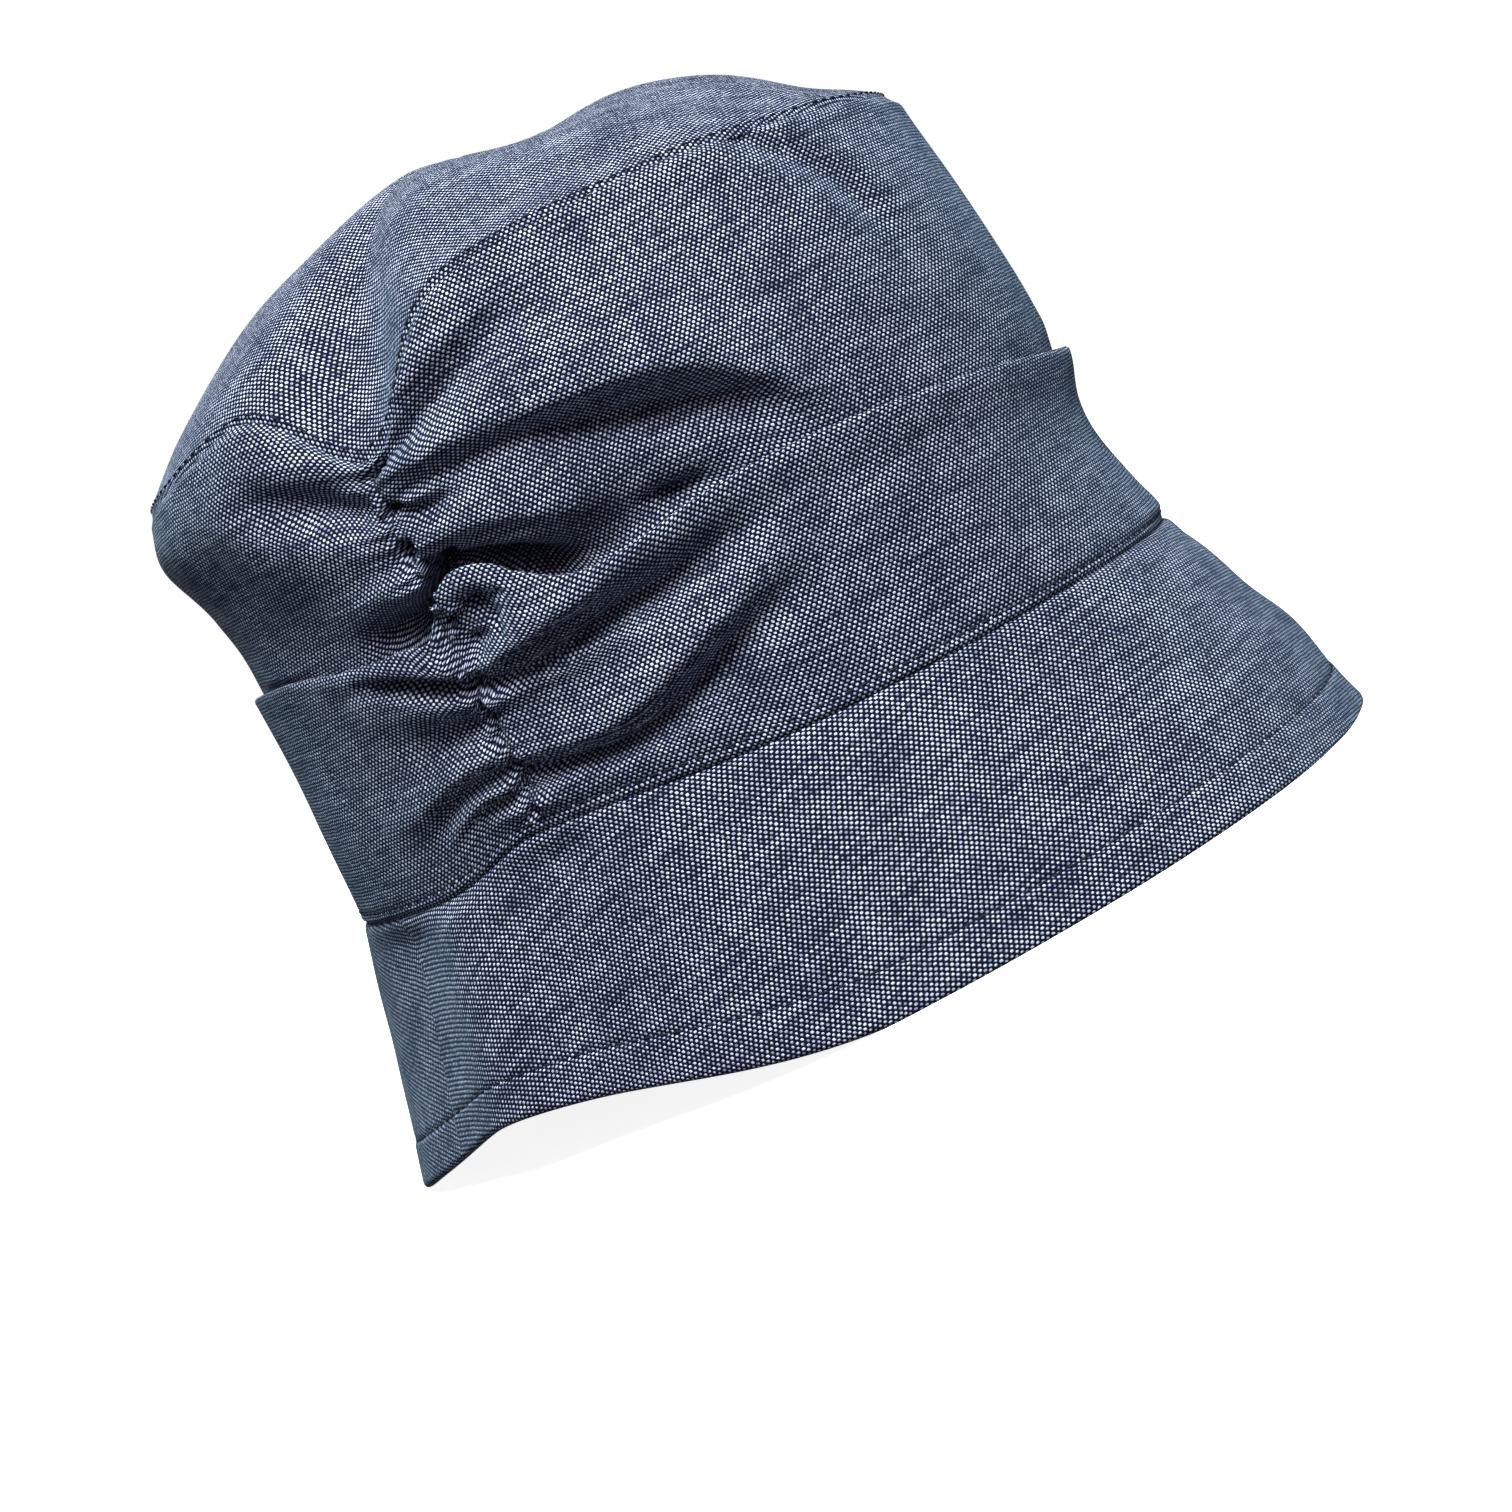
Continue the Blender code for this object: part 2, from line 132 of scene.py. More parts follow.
def smooth_line(x, xs, ys):
    """A cubic through (xs, ys) with xs rising, held level past its ends."""
    xs, ys = np.asarray(xs, float), np.asarray(ys, float)
    slope = np.gradient(ys, xs)
    x = np.clip(x, xs[0], xs[-1])
    i = np.clip(np.searchsorted(xs, x, side="right") - 1, 0, len(xs) - 2)
    w = xs[i + 1] - xs[i]
    return cubic((x - xs[i]) / w, ys[i], w * slope[i], ys[i + 1], w * slope[i + 1])


def on_oval(outline, angle, offset):
    front, back, half, z_front, z_side, z_back = outline
    c, s = np.cos(np.radians(angle)), np.sin(np.radians(angle))
    reach = np.where(c > 0, front - PLAN_X, PLAN_X - back)
    z_end = np.where(c > 0, z_front, z_back)
    x = PLAN_X + (reach + offset) * c
    return np.stack([x, (half + offset) * s, z_side + (z_end - z_side) * c * c], -1)


def outward(angle, by):
    a = np.radians(angle)
    return np.stack([by * np.cos(a), by * np.sin(a), 0.0 * a], -1)


def brim_edge(angle, offset):
    p = on_oval(BRIM_EDGE, angle, offset)
    d = turned(angle, BRIM_LIFT_AT) / BRIM_LIFT_REACH
    wave = np.where(np.abs(d) < 1, np.cos(0.5 * math.pi * np.clip(d, -1, 1)) ** 2, 0.0)
    p[..., 2] += BRIM_LIFT * wave
    return p + outward(angle, -3.0 * wave)


def crown_seam(angle, offset):
    p = on_oval(CROWN_SEAM, angle, offset)
    d = turned(angle, SEAM_LIFT_AT)
    p[..., 2] += SEAM_LIFT * bell(d / np.where(d > 0, SEAM_LIFT_AHEAD, SEAM_LIFT_BEHIND))
    return p


def tip_dip(angle):
    d = turned(angle, TIP_DROP_AT)
    return TIP_DROP * bell(d / np.where(d > 0, TIP_DROP_AHEAD, TIP_DROP_BEHIND))


def crown_wall(angle, t, offset):
    """Rows of points at each t: 0 at the crown seam, 1 at the band's top, and 4 at the tip seam."""
    keys = [crown_seam(angle, offset)]
    for level, share in ((BAND_TOP, 0.08), (CROWN_MID, 0.3), (CROWN_BULGE, 0.65), (TIP_SEAM, 1.0)):
        key = on_oval(level, angle, offset)
        key[..., 2] -= tip_dip(angle) * share
        keys.append(key)
    keys = [2 * keys[0] - keys[1]] + keys + [2 * keys[-1] - keys[-2]]
    rows = []
    for value in np.asarray(t, float):
        i = min(int(value), 3)
        before, start, end, after = keys[i : i + 4]
        rows.append(cubic(value - i, start, (end - before) / 2, end, (after - start) / 2))
    return np.array(rows)


def dome(angle, share, offset):
    """Rows of points at each share of the way from the middle of the tip to the tip seam."""
    rim = on_oval(TIP_SEAM, angle, offset)
    rim[..., 2] -= tip_dip(angle)
    power = DOME_BACK + (DOME_FRONT - DOME_BACK) * (0.5 + 0.5 * np.cos(np.radians(angle)))
    top = TIP_TOP + offset - CROWN_OUT
    rows = []
    for s in share:
        x = PLAN_X + (rim[..., 0] - PLAN_X) * s
        rise = (top - rim[..., 2]) * (1.0 - s**power)
        rows.append(np.stack([x, rim[..., 1] * s, rim[..., 2] + rise], -1))
    return np.array(rows)


def brim_face(angle, t, offset):
    a, b = brim_edge(angle, offset), crown_seam(angle, offset)
    return np.array([a + (b - a) * v for v in t])


def columns():
    """Angles round the hat, close together beside the ruched line."""
    fine = np.arange(FINE_FROM, FINE_TO, FINE_STEP)
    rest = np.linspace(fine[-1], fine[0] + 360.0, OTHER_COLUMNS)[1:-1]
    return np.concatenate([fine, rest])


ANGLES = columns()


# -------- folds

# A fold runs along a path of (angle, height) points. At each point it has a crest height, or a
# depth if negative, and how far it spreads above and below the path.
CROWN_FOLDS = [
    # in front of the ruched line
    [(-117.5, 147, 1, 1.6, 1.6), (-113, 146.6, 1.9, 4, 2), (-106, 146.6, 2.4, 6, 2.6),
     (-99, 145.6, 3.2, 10, 3), (-92, 144, 5, 14, 3.6), (-86, 142.4, 5.8, 15, 4),
     (-80, 139.8, 5.6, 15, 4.4), (-74, 135.2, 4.4, 14, 5), (-69, 129.4, 2.6, 12, 5.5),
     (-62, 122, 0, 12, 6)],
    [(-117.5, 141.4, -1.2, 1.4, 1.6), (-112, 142.4, -1.8, 1.5, 2), (-106, 142, -1.7, 1.8, 2.4),
     (-99, 141, -1.8, 1.8, 2.6), (-92, 137.6, -3.8, 2.8, 4.4), (-86, 135.2, -4.8, 3, 5),
     (-80, 132.2, -4.4, 3, 5), (-74, 127.4, -2.8, 3, 5), (-68, 121.6, 0, 4, 4)],
    [(-116.5, 150.4, -3, 2, 1.6), (-112, 152.2, -4, 3, 2.2), (-106, 155.5, -3.8, 4, 3.2),
     (-99, 159.8, -3, 5, 4.4), (-92, 163.5, -1.8, 6, 5), (-84, 168, 0, 6, 6)],
    [(-113, 158.5, 0, 3, 2), (-109, 161, 1.6, 4, 2.4), (-103, 165, 2, 5, 3), (-96, 169, 1.2, 5, 3),
     (-88, 173, 0, 5, 4)],
    [(-118, 139.5, -2, 1.3, 1.5), (-115, 138.4, -4, 1.6, 1.8), (-112, 137.2, -2.6, 1.8, 2),
     (-108, 136.6, 0, 2, 2)],
    [(-117.5, 130.6, 1, 2, 1.5), (-113, 129.6, 2, 4, 1.8), (-107, 128.4, 2.6, 6, 2.2),
     (-101, 124.6, 2.2, 7, 3), (-95, 122, 1.2, 8, 4), (-88, 120, 0, 8, 5)],
    [(-118.5, 126, -3, 2, 4), (-114, 125, -9, 2.6, 6), (-110, 123, -12.5, 3.4, 7),
     (-106, 119.5, -13, 4.2, 8), (-103, 116, -11, 5, 8), (-100, 113, -7, 7, 7), (-96, 112, -5, 10, 5),
     (-90, 113, -3.6, 9, 4), (-84, 114, -2.5, 5, 4), (-76, 114, 0, 4, 4)],
    [(-91, 115.5, 0, 1.4, 1.6), (-88, 116.2, -2.4, 1.6, 2), (-84.5, 115.8, -3, 1.6, 2),
     (-81, 114.8, 0, 1.5, 2)],
    # behind it
    [(-140, 163, 0, 8, 6), (-132, 160, 1.4, 8, 5), (-126, 156, 2, 6, 4), (-121, 152.5, 2.2, 4, 3),
     (-118.5, 150, 1.2, 2.5, 2)],
    [(-139, 156, 0, 5, 6), (-134, 153, -1.8, 6, 5), (-130, 149.6, -4, 7, 3.4),
     (-126, 146.4, -6, 7, 2.8), (-122, 143.6, -6, 5.5, 2.4), (-118.8, 141.6, -3, 3, 1.8)],
    [(-146, 153, 0, 7, 14), (-138, 149.5, 1.2, 6, 14), (-132, 146, 1.8, 5, 14),
     (-127, 142.4, 2.2, 3.6, 13), (-122, 139.6, 2.4, 2.6, 11), (-118.5, 138, 1.4, 1.5, 6)],
    [(-124, 128.6, 0, 1.6, 1.6), (-121.5, 128.6, -1.6, 1.5, 1.6), (-118.5, 128.6, -1.6, 1.4, 1.4)],
    [(-138, 124, 0, 4, 4), (-131, 124, 1.4, 4, 4), (-126, 124.2, 2.8, 3.2, 4),
     (-122, 124.6, 3.6, 2.6, 4.5), (-118.5, 125.4, 2.6, 2, 4)],
    [(-134, 116, 0, 3, 4), (-129, 116.5, -2.4, 3, 4), (-125, 117, -5.5, 3, 5),
     (-121.5, 118, -8, 3.2, 6), (-118.5, 119.5, -8, 3.4, 6), (-116, 121, -6, 3, 5)],
]
BAND_FOLDS = [
    # in front of the ruched line
    [(-117.5, 101, 1, 1.5, 1.2), (-114.5, 102, 3.2, 3, 1.3), (-111, 102.8, 4.6, 6, 1.5),
     (-107, 103.8, 5.6, 8, 1.8), (-102, 105.4, 5.8, 8, 2.8), (-96, 108.4, 4.6, 7, 5),
     (-88, 110.6, 3, 5, 7), (-78, 111, 1.6, 5, 8), (-66, 111, 0, 5, 8)],
    [(-118.5, 98.8, -2.5, 1.3, 1.5), (-114, 99, -5.4, 1.5, 1.7), (-109, 99.8, -7.4, 1.7, 1.8),
     (-103, 100.6, -7.4, 2, 2), (-97, 101, -5.4, 2.4, 2.4), (-90, 100.6, -3, 3.4, 3.4),
     (-82, 102, -1.2, 4, 4), (-75, 103, 0, 4, 5)],
    [(-118.5, 94.6, 1.2, 1.5, 1.5), (-113, 95.8, 2.6, 1.8, 3), (-107, 96.6, 2.8, 1.8, 4),
     (-100, 97, 1.8, 2, 4), (-93, 97, 0, 3, 4)],
    [(-101, 97, 0, 2.5, 2.5), (-95, 97, -1.4, 2.5, 2.5), (-89, 97.4, -1.2, 2.5, 2.5),
     (-83, 98, 0, 2.5, 2.5)],
    [(-118.5, 82, 1.2, 1.5, 1.4), (-113, 80.6, 1.8, 4, 1.6), (-107, 79.6, 2.6, 6, 2),
     (-101, 81, 3.4, 7, 2.6), (-95, 84.4, 4.4, 7, 3.4), (-89, 88.4, 4.6, 6, 4.4),
     (-83, 92.5, 3.4, 6, 6), (-77, 97, 1.6, 6.5, 7), (-70, 101, 0, 8, 8)],
    [(-118.5, 78.6, -1.8, 1.4, 1.4), (-114, 77.6, -4.8, 1.4, 1.5), (-108, 76.2, -6.2, 1.6, 1.6),
     (-102, 76, -6.2, 1.9, 1.9), (-96, 77.6, -5.4, 2.6, 2.4), (-90, 80.8, -3.6, 4, 3.6),
     (-84, 84.4, -1.8, 5, 4.6), (-77, 88, 0, 5, 6)],
    [(-118.5, 72.4, 0.8, 1.5, 2), (-113, 71.6, 0.8, 2.4, 4), (-106, 70.5, 0.7, 3, 5),
     (-96, 70, 0, 3, 5)],
    # behind it
    [(-146, 113, 0, 2, 3), (-138, 112, 1, 3, 2), (-131, 110.2, 2, 4, 1.8), (-126, 107.4, 3, 5, 1.8),
     (-122, 104.6, 3.4, 6, 1.7), (-119.4, 102.4, 2.6, 5, 1.5), (-117.8, 101, 1.2, 2.4, 1.2)],
    [(-138, 111, 0, 1.5, 1.6), (-134, 109.8, -1, 1.5, 1.6), (-130, 107.8, -2, 1.5, 1.6),
     (-126, 105, -2.8, 1.6, 1.6), (-122, 102, -3, 1.6, 1.6), (-118.5, 99.4, -1.8, 1.3, 1.3)],
    [(-142, 106, 0, 3, 6), (-136, 105.4, 1, 3, 6), (-131, 103, 1.8, 2.6, 6), (-127, 100, 2.4, 2.6, 4),
     (-123, 97.6, 2.4, 2.4, 3), (-118.5, 96, 1.2, 1.6, 2)],
    [(-136, 92, 0, 5, 5), (-130, 92, -1.6, 5, 5), (-125, 92, -3, 4.4, 4.4), (-121, 92, -2.8, 3.4, 3.4),
     (-118.5, 92, -1.2, 2, 2)],
    [(-146, 78, 0, 4, 5), (-138, 79.4, 1.4, 5, 3), (-132, 81.6, 2.2, 4.6, 2), (-127, 83.4, 2.8, 4, 1.7),
     (-122, 83.6, 2.6, 3.4, 1.6), (-118.5, 82.8, 1.3, 2.4, 1.3)],
    [(-137, 73, 0, 2, 2), (-133, 76.6, -1.4, 1.8, 1.8), (-129, 79.6, -2.2, 1.6, 1.6),
     (-125, 80.8, -2.6, 1.5, 1.5), (-121, 80.6, -2.4, 1.5, 1.5), (-118, 79.8, -1.3, 1.3, 1.3)],
    [(-134, 71, 0, 2, 2), (-130, 74, 1.2, 2, 1.2), (-126, 76.2, 1.8, 2, 1.1), (-122, 76.8, 2, 1.8, 1.1),
     (-118, 76.2, 1.2, 1.6, 1)],
    [(-129, 73.4, 0, 1, 1.2), (-125, 74.4, -1.4, 1.1, 1.2), (-121, 75, -1.8, 1.1, 1.2),
     (-117.5, 74.2, -1.2, 1.1, 1.2), (-115, 73, 0, 1.1, 1.2)],
    [(-128, 70.6, 0, 2, 2), (-124, 71.8, 1.2, 2, 2), (-119, 71.4, 1.2, 2, 2), (-114, 70, 0, 2, 2)],
]
# Pits where the gathers meet: height, depth, half height, half width and distance from the ruched line.
PITS = (
    (147.6, 5.0, 1.3, 2.6, 0.8), (138.6, 4.5, 1.3, 2.6, 0.6), (129.5, 5.0, 2.0, 2.2, 0.4),
    (99.2, 4.0, 1.2, 2.6, 0.6), (94.6, 1.8, 0.9, 2.0, -1.2), (91.2, 2.2, 1.0, 2.4, 1.2),
    (87.6, 1.6, 0.8, 1.8, -1.4), (81.2, 2.6, 1.0, 2.2, -1.0), (76.8, 3.6, 1.3, 2.6, 1.0),
    (70.4, 2.2, 1.0, 2.2, -0.6),
)
FOLD_SHAPE = 1.8  # 2 is a bell; less makes crests sharper
ROLL_SHAPE, ROLL_WIDER = 2.9, 1.2  # the underside of a crest is rounder, and turns in late
SAG = 0.4  # how far a crest sinks, and a valley rises, for each millimetre of relief
MOST_SAG = 3.0


def fold_height(folds, angle, z):
    """Height of all folds over a grid of angles (columns) and heights z (rows by columns)."""
    total = np.zeros_like(z)
    for fold in folds:
        path = np.array(sorted(fold))
        inside = (angle > path[0, 0]) & (angle < path[-1, 0])
        a = angle[inside]
        centre, height, above, below = (smooth_line(a, path[:, 0], path[:, k]) for k in (1, 2, 3, 4))
        d = z[:, inside] - centre - SAG * height
        spread = np.where(d > 0, above, below * np.where(height > 0, ROLL_WIDER, 1.0))
        shape = np.where((d < 0) & (height > 0), ROLL_SHAPE, FOLD_SHAPE)
        total[:, inside] += height * np.exp(-(np.abs(d / spread) ** shape))
    return total


def ruched_line(z):
    """The angle of the ruched line, which leans forward above the band and wavers a little."""
    return RUCHE - 0.8 + 1.8 * step((z - 126.0) / 20.0) + 0.35 * np.sin(z / 3.1)


def near_ruche(angle, z):
    """Millimetres of cloth from the ruched line."""
    return MM_PER_DEGREE * turned(angle, ruched_line(z))


def puckers(angle, z):
    """The furrow of the ruched line, the small gathers beside it and the pits between them."""
    s = near_ruche(angle, z)
    furrow = -1.3 * bell(s / 1.4)
    side = np.where(s > 0, 0.16 * s, 1.7 + 0.3 * s)
    wave = np.cos(2 * math.pi * (z + side + 1.1 * np.sin(0.37 * z) + 0.6 * np.sin(0.9 * z + 1)) / 4.3)
    gathers = (0.5 + 0.5 * wave) * (0.65 + 0.45 * np.sin(0.55 * z + np.where(s > 0, 0.0, 2.0)))
    reach = (1.0 - 0.8 * bell(s / 1.0)) * np.exp(-np.abs(s) / 3.8)
    pits = 0.0
    for height, depth, tall, wide, to in PITS:
        pits = pits - depth * bell((z - height - 0.25 * s) / tall) * bell((s - to) / wide)
    return furrow + 2.3 * reach * gathers + pits


def ripple(angle, z, seed, size, depth):
    """Soft uneven waves, the same each run: a sum of sines in random directions."""
    rng = np.random.default_rng(seed)
    x = 100.0 * np.cos(np.radians(angle)) + 0 * z
    y = 100.0 * np.sin(np.radians(angle)) + 0 * z
    total = 0.0
    for _ in range(9):
        k = rng.normal(size=3) / size
        total = total + np.sin(x * k[0] + y * k[1] + z * k[2] + rng.uniform(0, 2 * math.pi))
    return depth * total / 3.0


# The band's top edge, as (angle, height).
BAND_EDGE = [
    (-180, 117.5), (-165, 117.5), (-150, 116.6), (-140, 115), (-131, 114.0), (-125, 113.4),
    (-121.6, 112.8), (-120.2, 114.6), (-118.2, 119.6), (-116, 122.6), (-113, 123.2), (-110.5, 121.8),
    (-107, 117.4), (-103.5, 114.2), (-99, 112.2), (-93, 111.8), (-84, 113.4), (-77, 113.8), (-65, 112.8),
    (-50, 110.3), (-35, 107), (-18, 103.8), (0, 103), (45, 107.5), (90, 112), (135, 115), (180, 117.5),
]
# Where the gathered end of the band opens: its middle, then the small humps
# and pits of the crumpled cloth in it, each as angle, height, rise, half width, half height.
LOOP_AT, LOOP_HEIGHT = -114.6, 111.6
CRUMPLE = (
    (-117.2, 115.4, 2.0, 1.6, 1.3), (-114.2, 109.6, 1.3, 1.8, 1.2), (-111.4, 113.6, 0.8, 1.2, 2.4),
    (-118.4, 110.4, 1.2, 1.2, 1.6), (-113.8, 114.4, -2.6, 2.0, 2.2), (-118.8, 118.4, -2.8, 1.7, 0.9),
    (-118.2, 112.9, -3.2, 1.2, 0.9), (-116.4, 107.2, -3.0, 1.5, 1.0), (-112.4, 109.4, -1.8, 1.2, 1.8),
)


def band_edge(angle):
    xs, zs = zip(*BAND_EDGE)
    return smooth_line(turned(angle, 0.0), xs, zs)


def end_loop(angle, z):
    """The open end of the band: a lip over and in front of a shallow hollow of crumpled cloth."""
    s = MM_PER_DEGREE * turned(angle, LOOP_AT)
    v = z - LOOP_HEIGHT
    uneven = 0.8 * np.sin(0.75 * s + 0.4) + 0.5 * np.sin(1.7 * v + 0.3 * s)
    up, down = (v - 3.6 - uneven) / 1.6, (-v - 4.6 + 0.35 * s + uneven) / 1.6
    ahead = (s - 5.8 - 0.25 * v - uneven) / 1.8
    hollow = (1 - step(up)) * (1 - step(down)) * (1 - step(ahead)) * step((s + 11.0) / 2.0)
    front = 1.0 * bell((s - 9.6 - 0.3 * v) / 2.6) * step((v + 10.0) / 4.0) * (1 - step((v - 2.0) / 7.0))
    top = 1.6 * bell((v - 8.2 + 0.04 * s * s) / 2.4) * step((s + 9.5) / 3.0) * (1 - step((s - 6.0) / 6.0))
    bumps = 0.0
    for at, height, rise, wide, tall in CRUMPLE:
        bumps = bumps + rise * bell(MM_PER_DEGREE * turned(angle, at) / wide) * bell((z - height) / tall)
    return 0.8 * top + front - 1.7 * hollow + bumps


def facing(angle):
    """1 at the front of the hat, falling away to 0 before its sides."""
    return np.maximum(np.cos(np.radians(angle)), 0.0) ** 4


def waviness(angle, z, seed, size, depth, small_depth):
    """Broad soft waves, and small ones that are strongest near the ruched line."""
    near = np.exp(-np.abs(near_ruche(angle, z)) / 60.0)
    return ripple(angle, z, seed, size, depth) + ripple(angle, z, seed + 2, 9.0, small_depth) * (0.4 + near)


# Where the slot behind the band's open end runs, and the dent ahead of the folds: heights and angles.
SLOT = ((112, 114.2, 116.8, 120.5, 124.2, 126), (-124, -122.8, -121, -118.6, -116, -114.6))
DENT = ((143, 150, 158, 165, 172, 182), (-42, -43, -45, -48.5, -53, -60))


def crown_relief(angle, z):
    """Folds and puckers, with a swell behind the ruched line and fullness at the front."""
    round_hat = turned(angle, 0)
    relief = fold_height(CROWN_FOLDS, angle, z) + puckers(angle, z)
    relief += 1.6 * bell((turned(angle, -141.0)) / 7.0) * step((z - 118) / 25) * step((172 - z) / 20)
    slot = bell((round_hat - smooth_line(z, *SLOT)) / 1.15)
    relief += -9.0 * slot * step((z - 111) / 3) * step((127 - z) / 3)
    d = round_hat - smooth_line(z, *DENT)
    dent = -1.8 * bell(d / 2.6) + 1.2 * bell((d + 6.5) / 4.5) + 0.8 * bell((d - 6) / 5)
    relief += step((z - 138) / 14) * dent + waviness(angle, z, 3, 24.0, 0.9, 0.22)
    return relief + 1.6 * facing(angle) * step((z - 100) / 12)


def band_relief(angle, z):
    """Folds and puckers, the open end, and at the front a hollow below the band's top edge."""
    loop_zone = bell(turned(angle, LOOP_AT) / 6.5) * step((z - 101.5) / 4)
    relief = fold_height(BAND_FOLDS, angle, z) + puckers(angle, z) * (1 - loop_zone)
    relief += end_loop(angle, z) + waviness(angle, z, 11, 26.0, 0.8, 0.2)
    relief += facing(angle) * (-3.4 * bell((z - 84.0) / 14.0) + 1.2 * bell((z - 61.0) / 5.0))
    foot = step((z - crown_seam(angle, 0.0)[..., 2]) / 5.0)
    return relief * foot


# -------- meshes


def grid_normals(p):
    """Unit normals of a grid that closes on itself along its columns."""
    along = np.roll(p, -1, axis=1) - np.roll(p, 1, axis=1)
    up = np.gradient(p, axis=0)
    n = np.cross(along, up)
    return n / np.maximum(np.linalg.norm(n, axis=-1, keepdims=True), 1e-9)


def row_lengths(p):
    """Distance along each column, from its first point."""
    steps = np.linalg.norm(np.diff(p, axis=0), axis=-1)
    return np.vstack([np.zeros(p.shape[1]), np.cumsum(steps, axis=0)])


def out_by(p, by):
    """A grid moved out along its normals, or in where by is negative."""
    return p + np.asarray(by)[..., None] * grid_normals(p)


def blurred(values, axis=0):
    """Each value mixed with its neighbours round the hat."""
    return (np.roll(values, 1, axis=axis) + 2 * values + np.roll(values, -1, axis=axis)) / 4


def round_lengths(row):
    """Distance round a closed row from its first point, one more entry than it has points."""
    steps = np.linalg.norm(np.roll(row, -1, axis=0) - row, axis=-1)
    return np.concatenate([[0.0], np.cumsum(steps)])


def corners(grid):
    """The four corners of each cell of a grid, in order round the cell."""
    return np.stack([grid[:-1, :-1], grid[:-1, 1:], grid[1:, 1:], grid[1:, :-1]], 2)


def numbered(rows, columns, wrap_rows=0):
    """Point numbers of a grid whose first column comes again at its end, and its first row too if asked."""
    return np.pad(np.arange(rows * columns).reshape(rows, columns), ((0, wrap_rows), (0, 1)), mode="wrap")


def placed(name, data):
    obj = bpy.data.objects.new(name, data)
    bpy.context.scene.collection.objects.link(obj)
    return obj


def make_mesh(name, points, faces, uvs):
    """A smooth mesh from points in millimetres, faces, and a cloth position in millimetres per corner."""
    mesh = bpy.data.meshes.new(name)
    mesh.from_pydata((np.asarray(points) * METRE).tolist(), [], faces)
    layer = mesh.uv_layers.new(name="cloth")
    layer.data.foreach_set("uv", np.asarray(uvs, np.float32).ravel())
    mesh.polygons.foreach_set("use_smooth", [True] * len(mesh.polygons))
    mesh.validate()
    return placed(name, mesh)


def cloth_ring(name, p, cloth, thick):
    """A closed shell from a grid p (rows, columns, xyz) of its outer face, closed along its columns.

    cloth holds the cloth position of each row and column, with one extra column for the seam.
    """
    loop = np.concatenate([p, out_by(p, -thick)[::-1]])
    faces = corners(numbered(*loop.shape[:2], wrap_rows=1)).reshape(-1, 4)
    uvs = corners(np.concatenate([cloth, cloth[::-1], cloth[:1]])).reshape(-1, 2)
    return make_mesh(name, loop.reshape(-1, 3), faces.tolist(), uvs)


def ironed_lengths(line, angle):
    """Distance round a closed row once its small folds are smoothed away, with one extra entry."""
    even = angle[0] + np.arange(round(360.0 / FINE_STEP)) * FINE_STEP
    flat = np.stack([np.interp(even, angle, line[:, k], period=360.0) for k in range(3)], -1)
    for _ in range(60):
        flat = blurred(flat)
    whole = angle[0] + 360.0
    return np.interp(np.append(angle, whole), np.append(even, whole), round_lengths(flat))


def wall_cloth(p, middle, angle):
    """Cloth positions of a wall: round the hat at the middle row, and up each column from it."""
    up = row_lengths(p)
    up = up - up[middle] + p[middle, :, 2]
    for _ in range(220):
        up = blurred(up, 1)
    up = np.hstack([up, up[:, :1]])
    return np.stack([np.broadcast_to(ironed_lengths(p[middle], angle), up.shape), up], -1)


def stand_for(piece, material, *nodes, **cut):
    """The piece rides on the hat's one body, and is shown instead of these nodes; cut is not used."""
    piece.data.materials.append(material)
    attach(piece, "root")
    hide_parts(*nodes)


# -------- materials


def opaque(colour, times=1.0):
    return (*(times * c for c in colour), 1.0)


class Nodes:
    """Short calls for building a shader."""

    def __init__(self, name):
        self.material = bpy.data.materials.new(name)
        self.material.use_nodes = True
        self.tree = self.material.node_tree
        self.shader = self.tree.nodes["Principled BSDF"]

    def put(self, socket, value):
        if isinstance(value, bpy.types.NodeSocket):
            self.tree.links.new(value, socket)
        else:
            socket.default_value = value

    def node(self, kind, inputs=(), **settings):
        n = self.tree.nodes.new(kind)
        for key, value in settings.items():
            setattr(n, key, value)
        for key, value in dict(inputs).items():
            self.put(n.inputs[key], value)
        return n

    def surface(self, inputs):
        for key, value in inputs.items():
            self.put(self.shader.inputs[key], value)

    def bump(self, height, strength, distance):
        inputs = {"Height": height, "Strength": strength, "Distance": distance}
        return self.node("ShaderNodeBump", inputs).outputs["Normal"]

    def maths(self, operation, *values):
        n = self.tree.nodes.new("ShaderNodeMath")
        n.operation = operation
        for socket, value in zip(n.inputs, values):
            self.put(socket, value)
        return n.outputs[0]

    def scaled(self, value, by, plus=None):
        if plus is None:
            return self.maths("MULTIPLY", value, by)
        return self.maths("MULTIPLY_ADD", value, by, plus)

    def point(self, x, y, z=0.0):
        n = self.tree.nodes.new("ShaderNodeCombineXYZ")
        for socket, value in zip(n.inputs, (x, y, z)):
            self.put(socket, value)
        return n.outputs[0]

    def noise(self, vector, scale, detail=2.0):
        n = self.node("ShaderNodeTexNoise", {"Vector": vector, "Scale": scale, "Detail": detail})
        return n.outputs["Fac"]

    def mix(self, fac, a, b):
        n = self.node("ShaderNodeMix", data_type="RGBA")
        self.put(n.inputs[0], fac)
        self.put(n.inputs[6], a)
        self.put(n.inputs[7], b)
        return n.outputs[2]

    def span(self, value, low, high, to_low=0.0, to_high=1.0, smooth=True):
        kind = "SMOOTHSTEP" if smooth else "LINEAR"
        inputs = {"Value": value, "From Min": low, "From Max": high, "To Min": to_low, "To Max": to_high}
        return self.node("ShaderNodeMapRange", inputs, interpolation_type=kind).outputs["Result"]


# Near black painted shade for the low points between the threads of a weave.
GAP_SHADE_COLOUR = (0.002, 0.003, 0.008)
WEAVE_BUMP, THREAD_BUMP = 0.00022, 0.0001  # metres


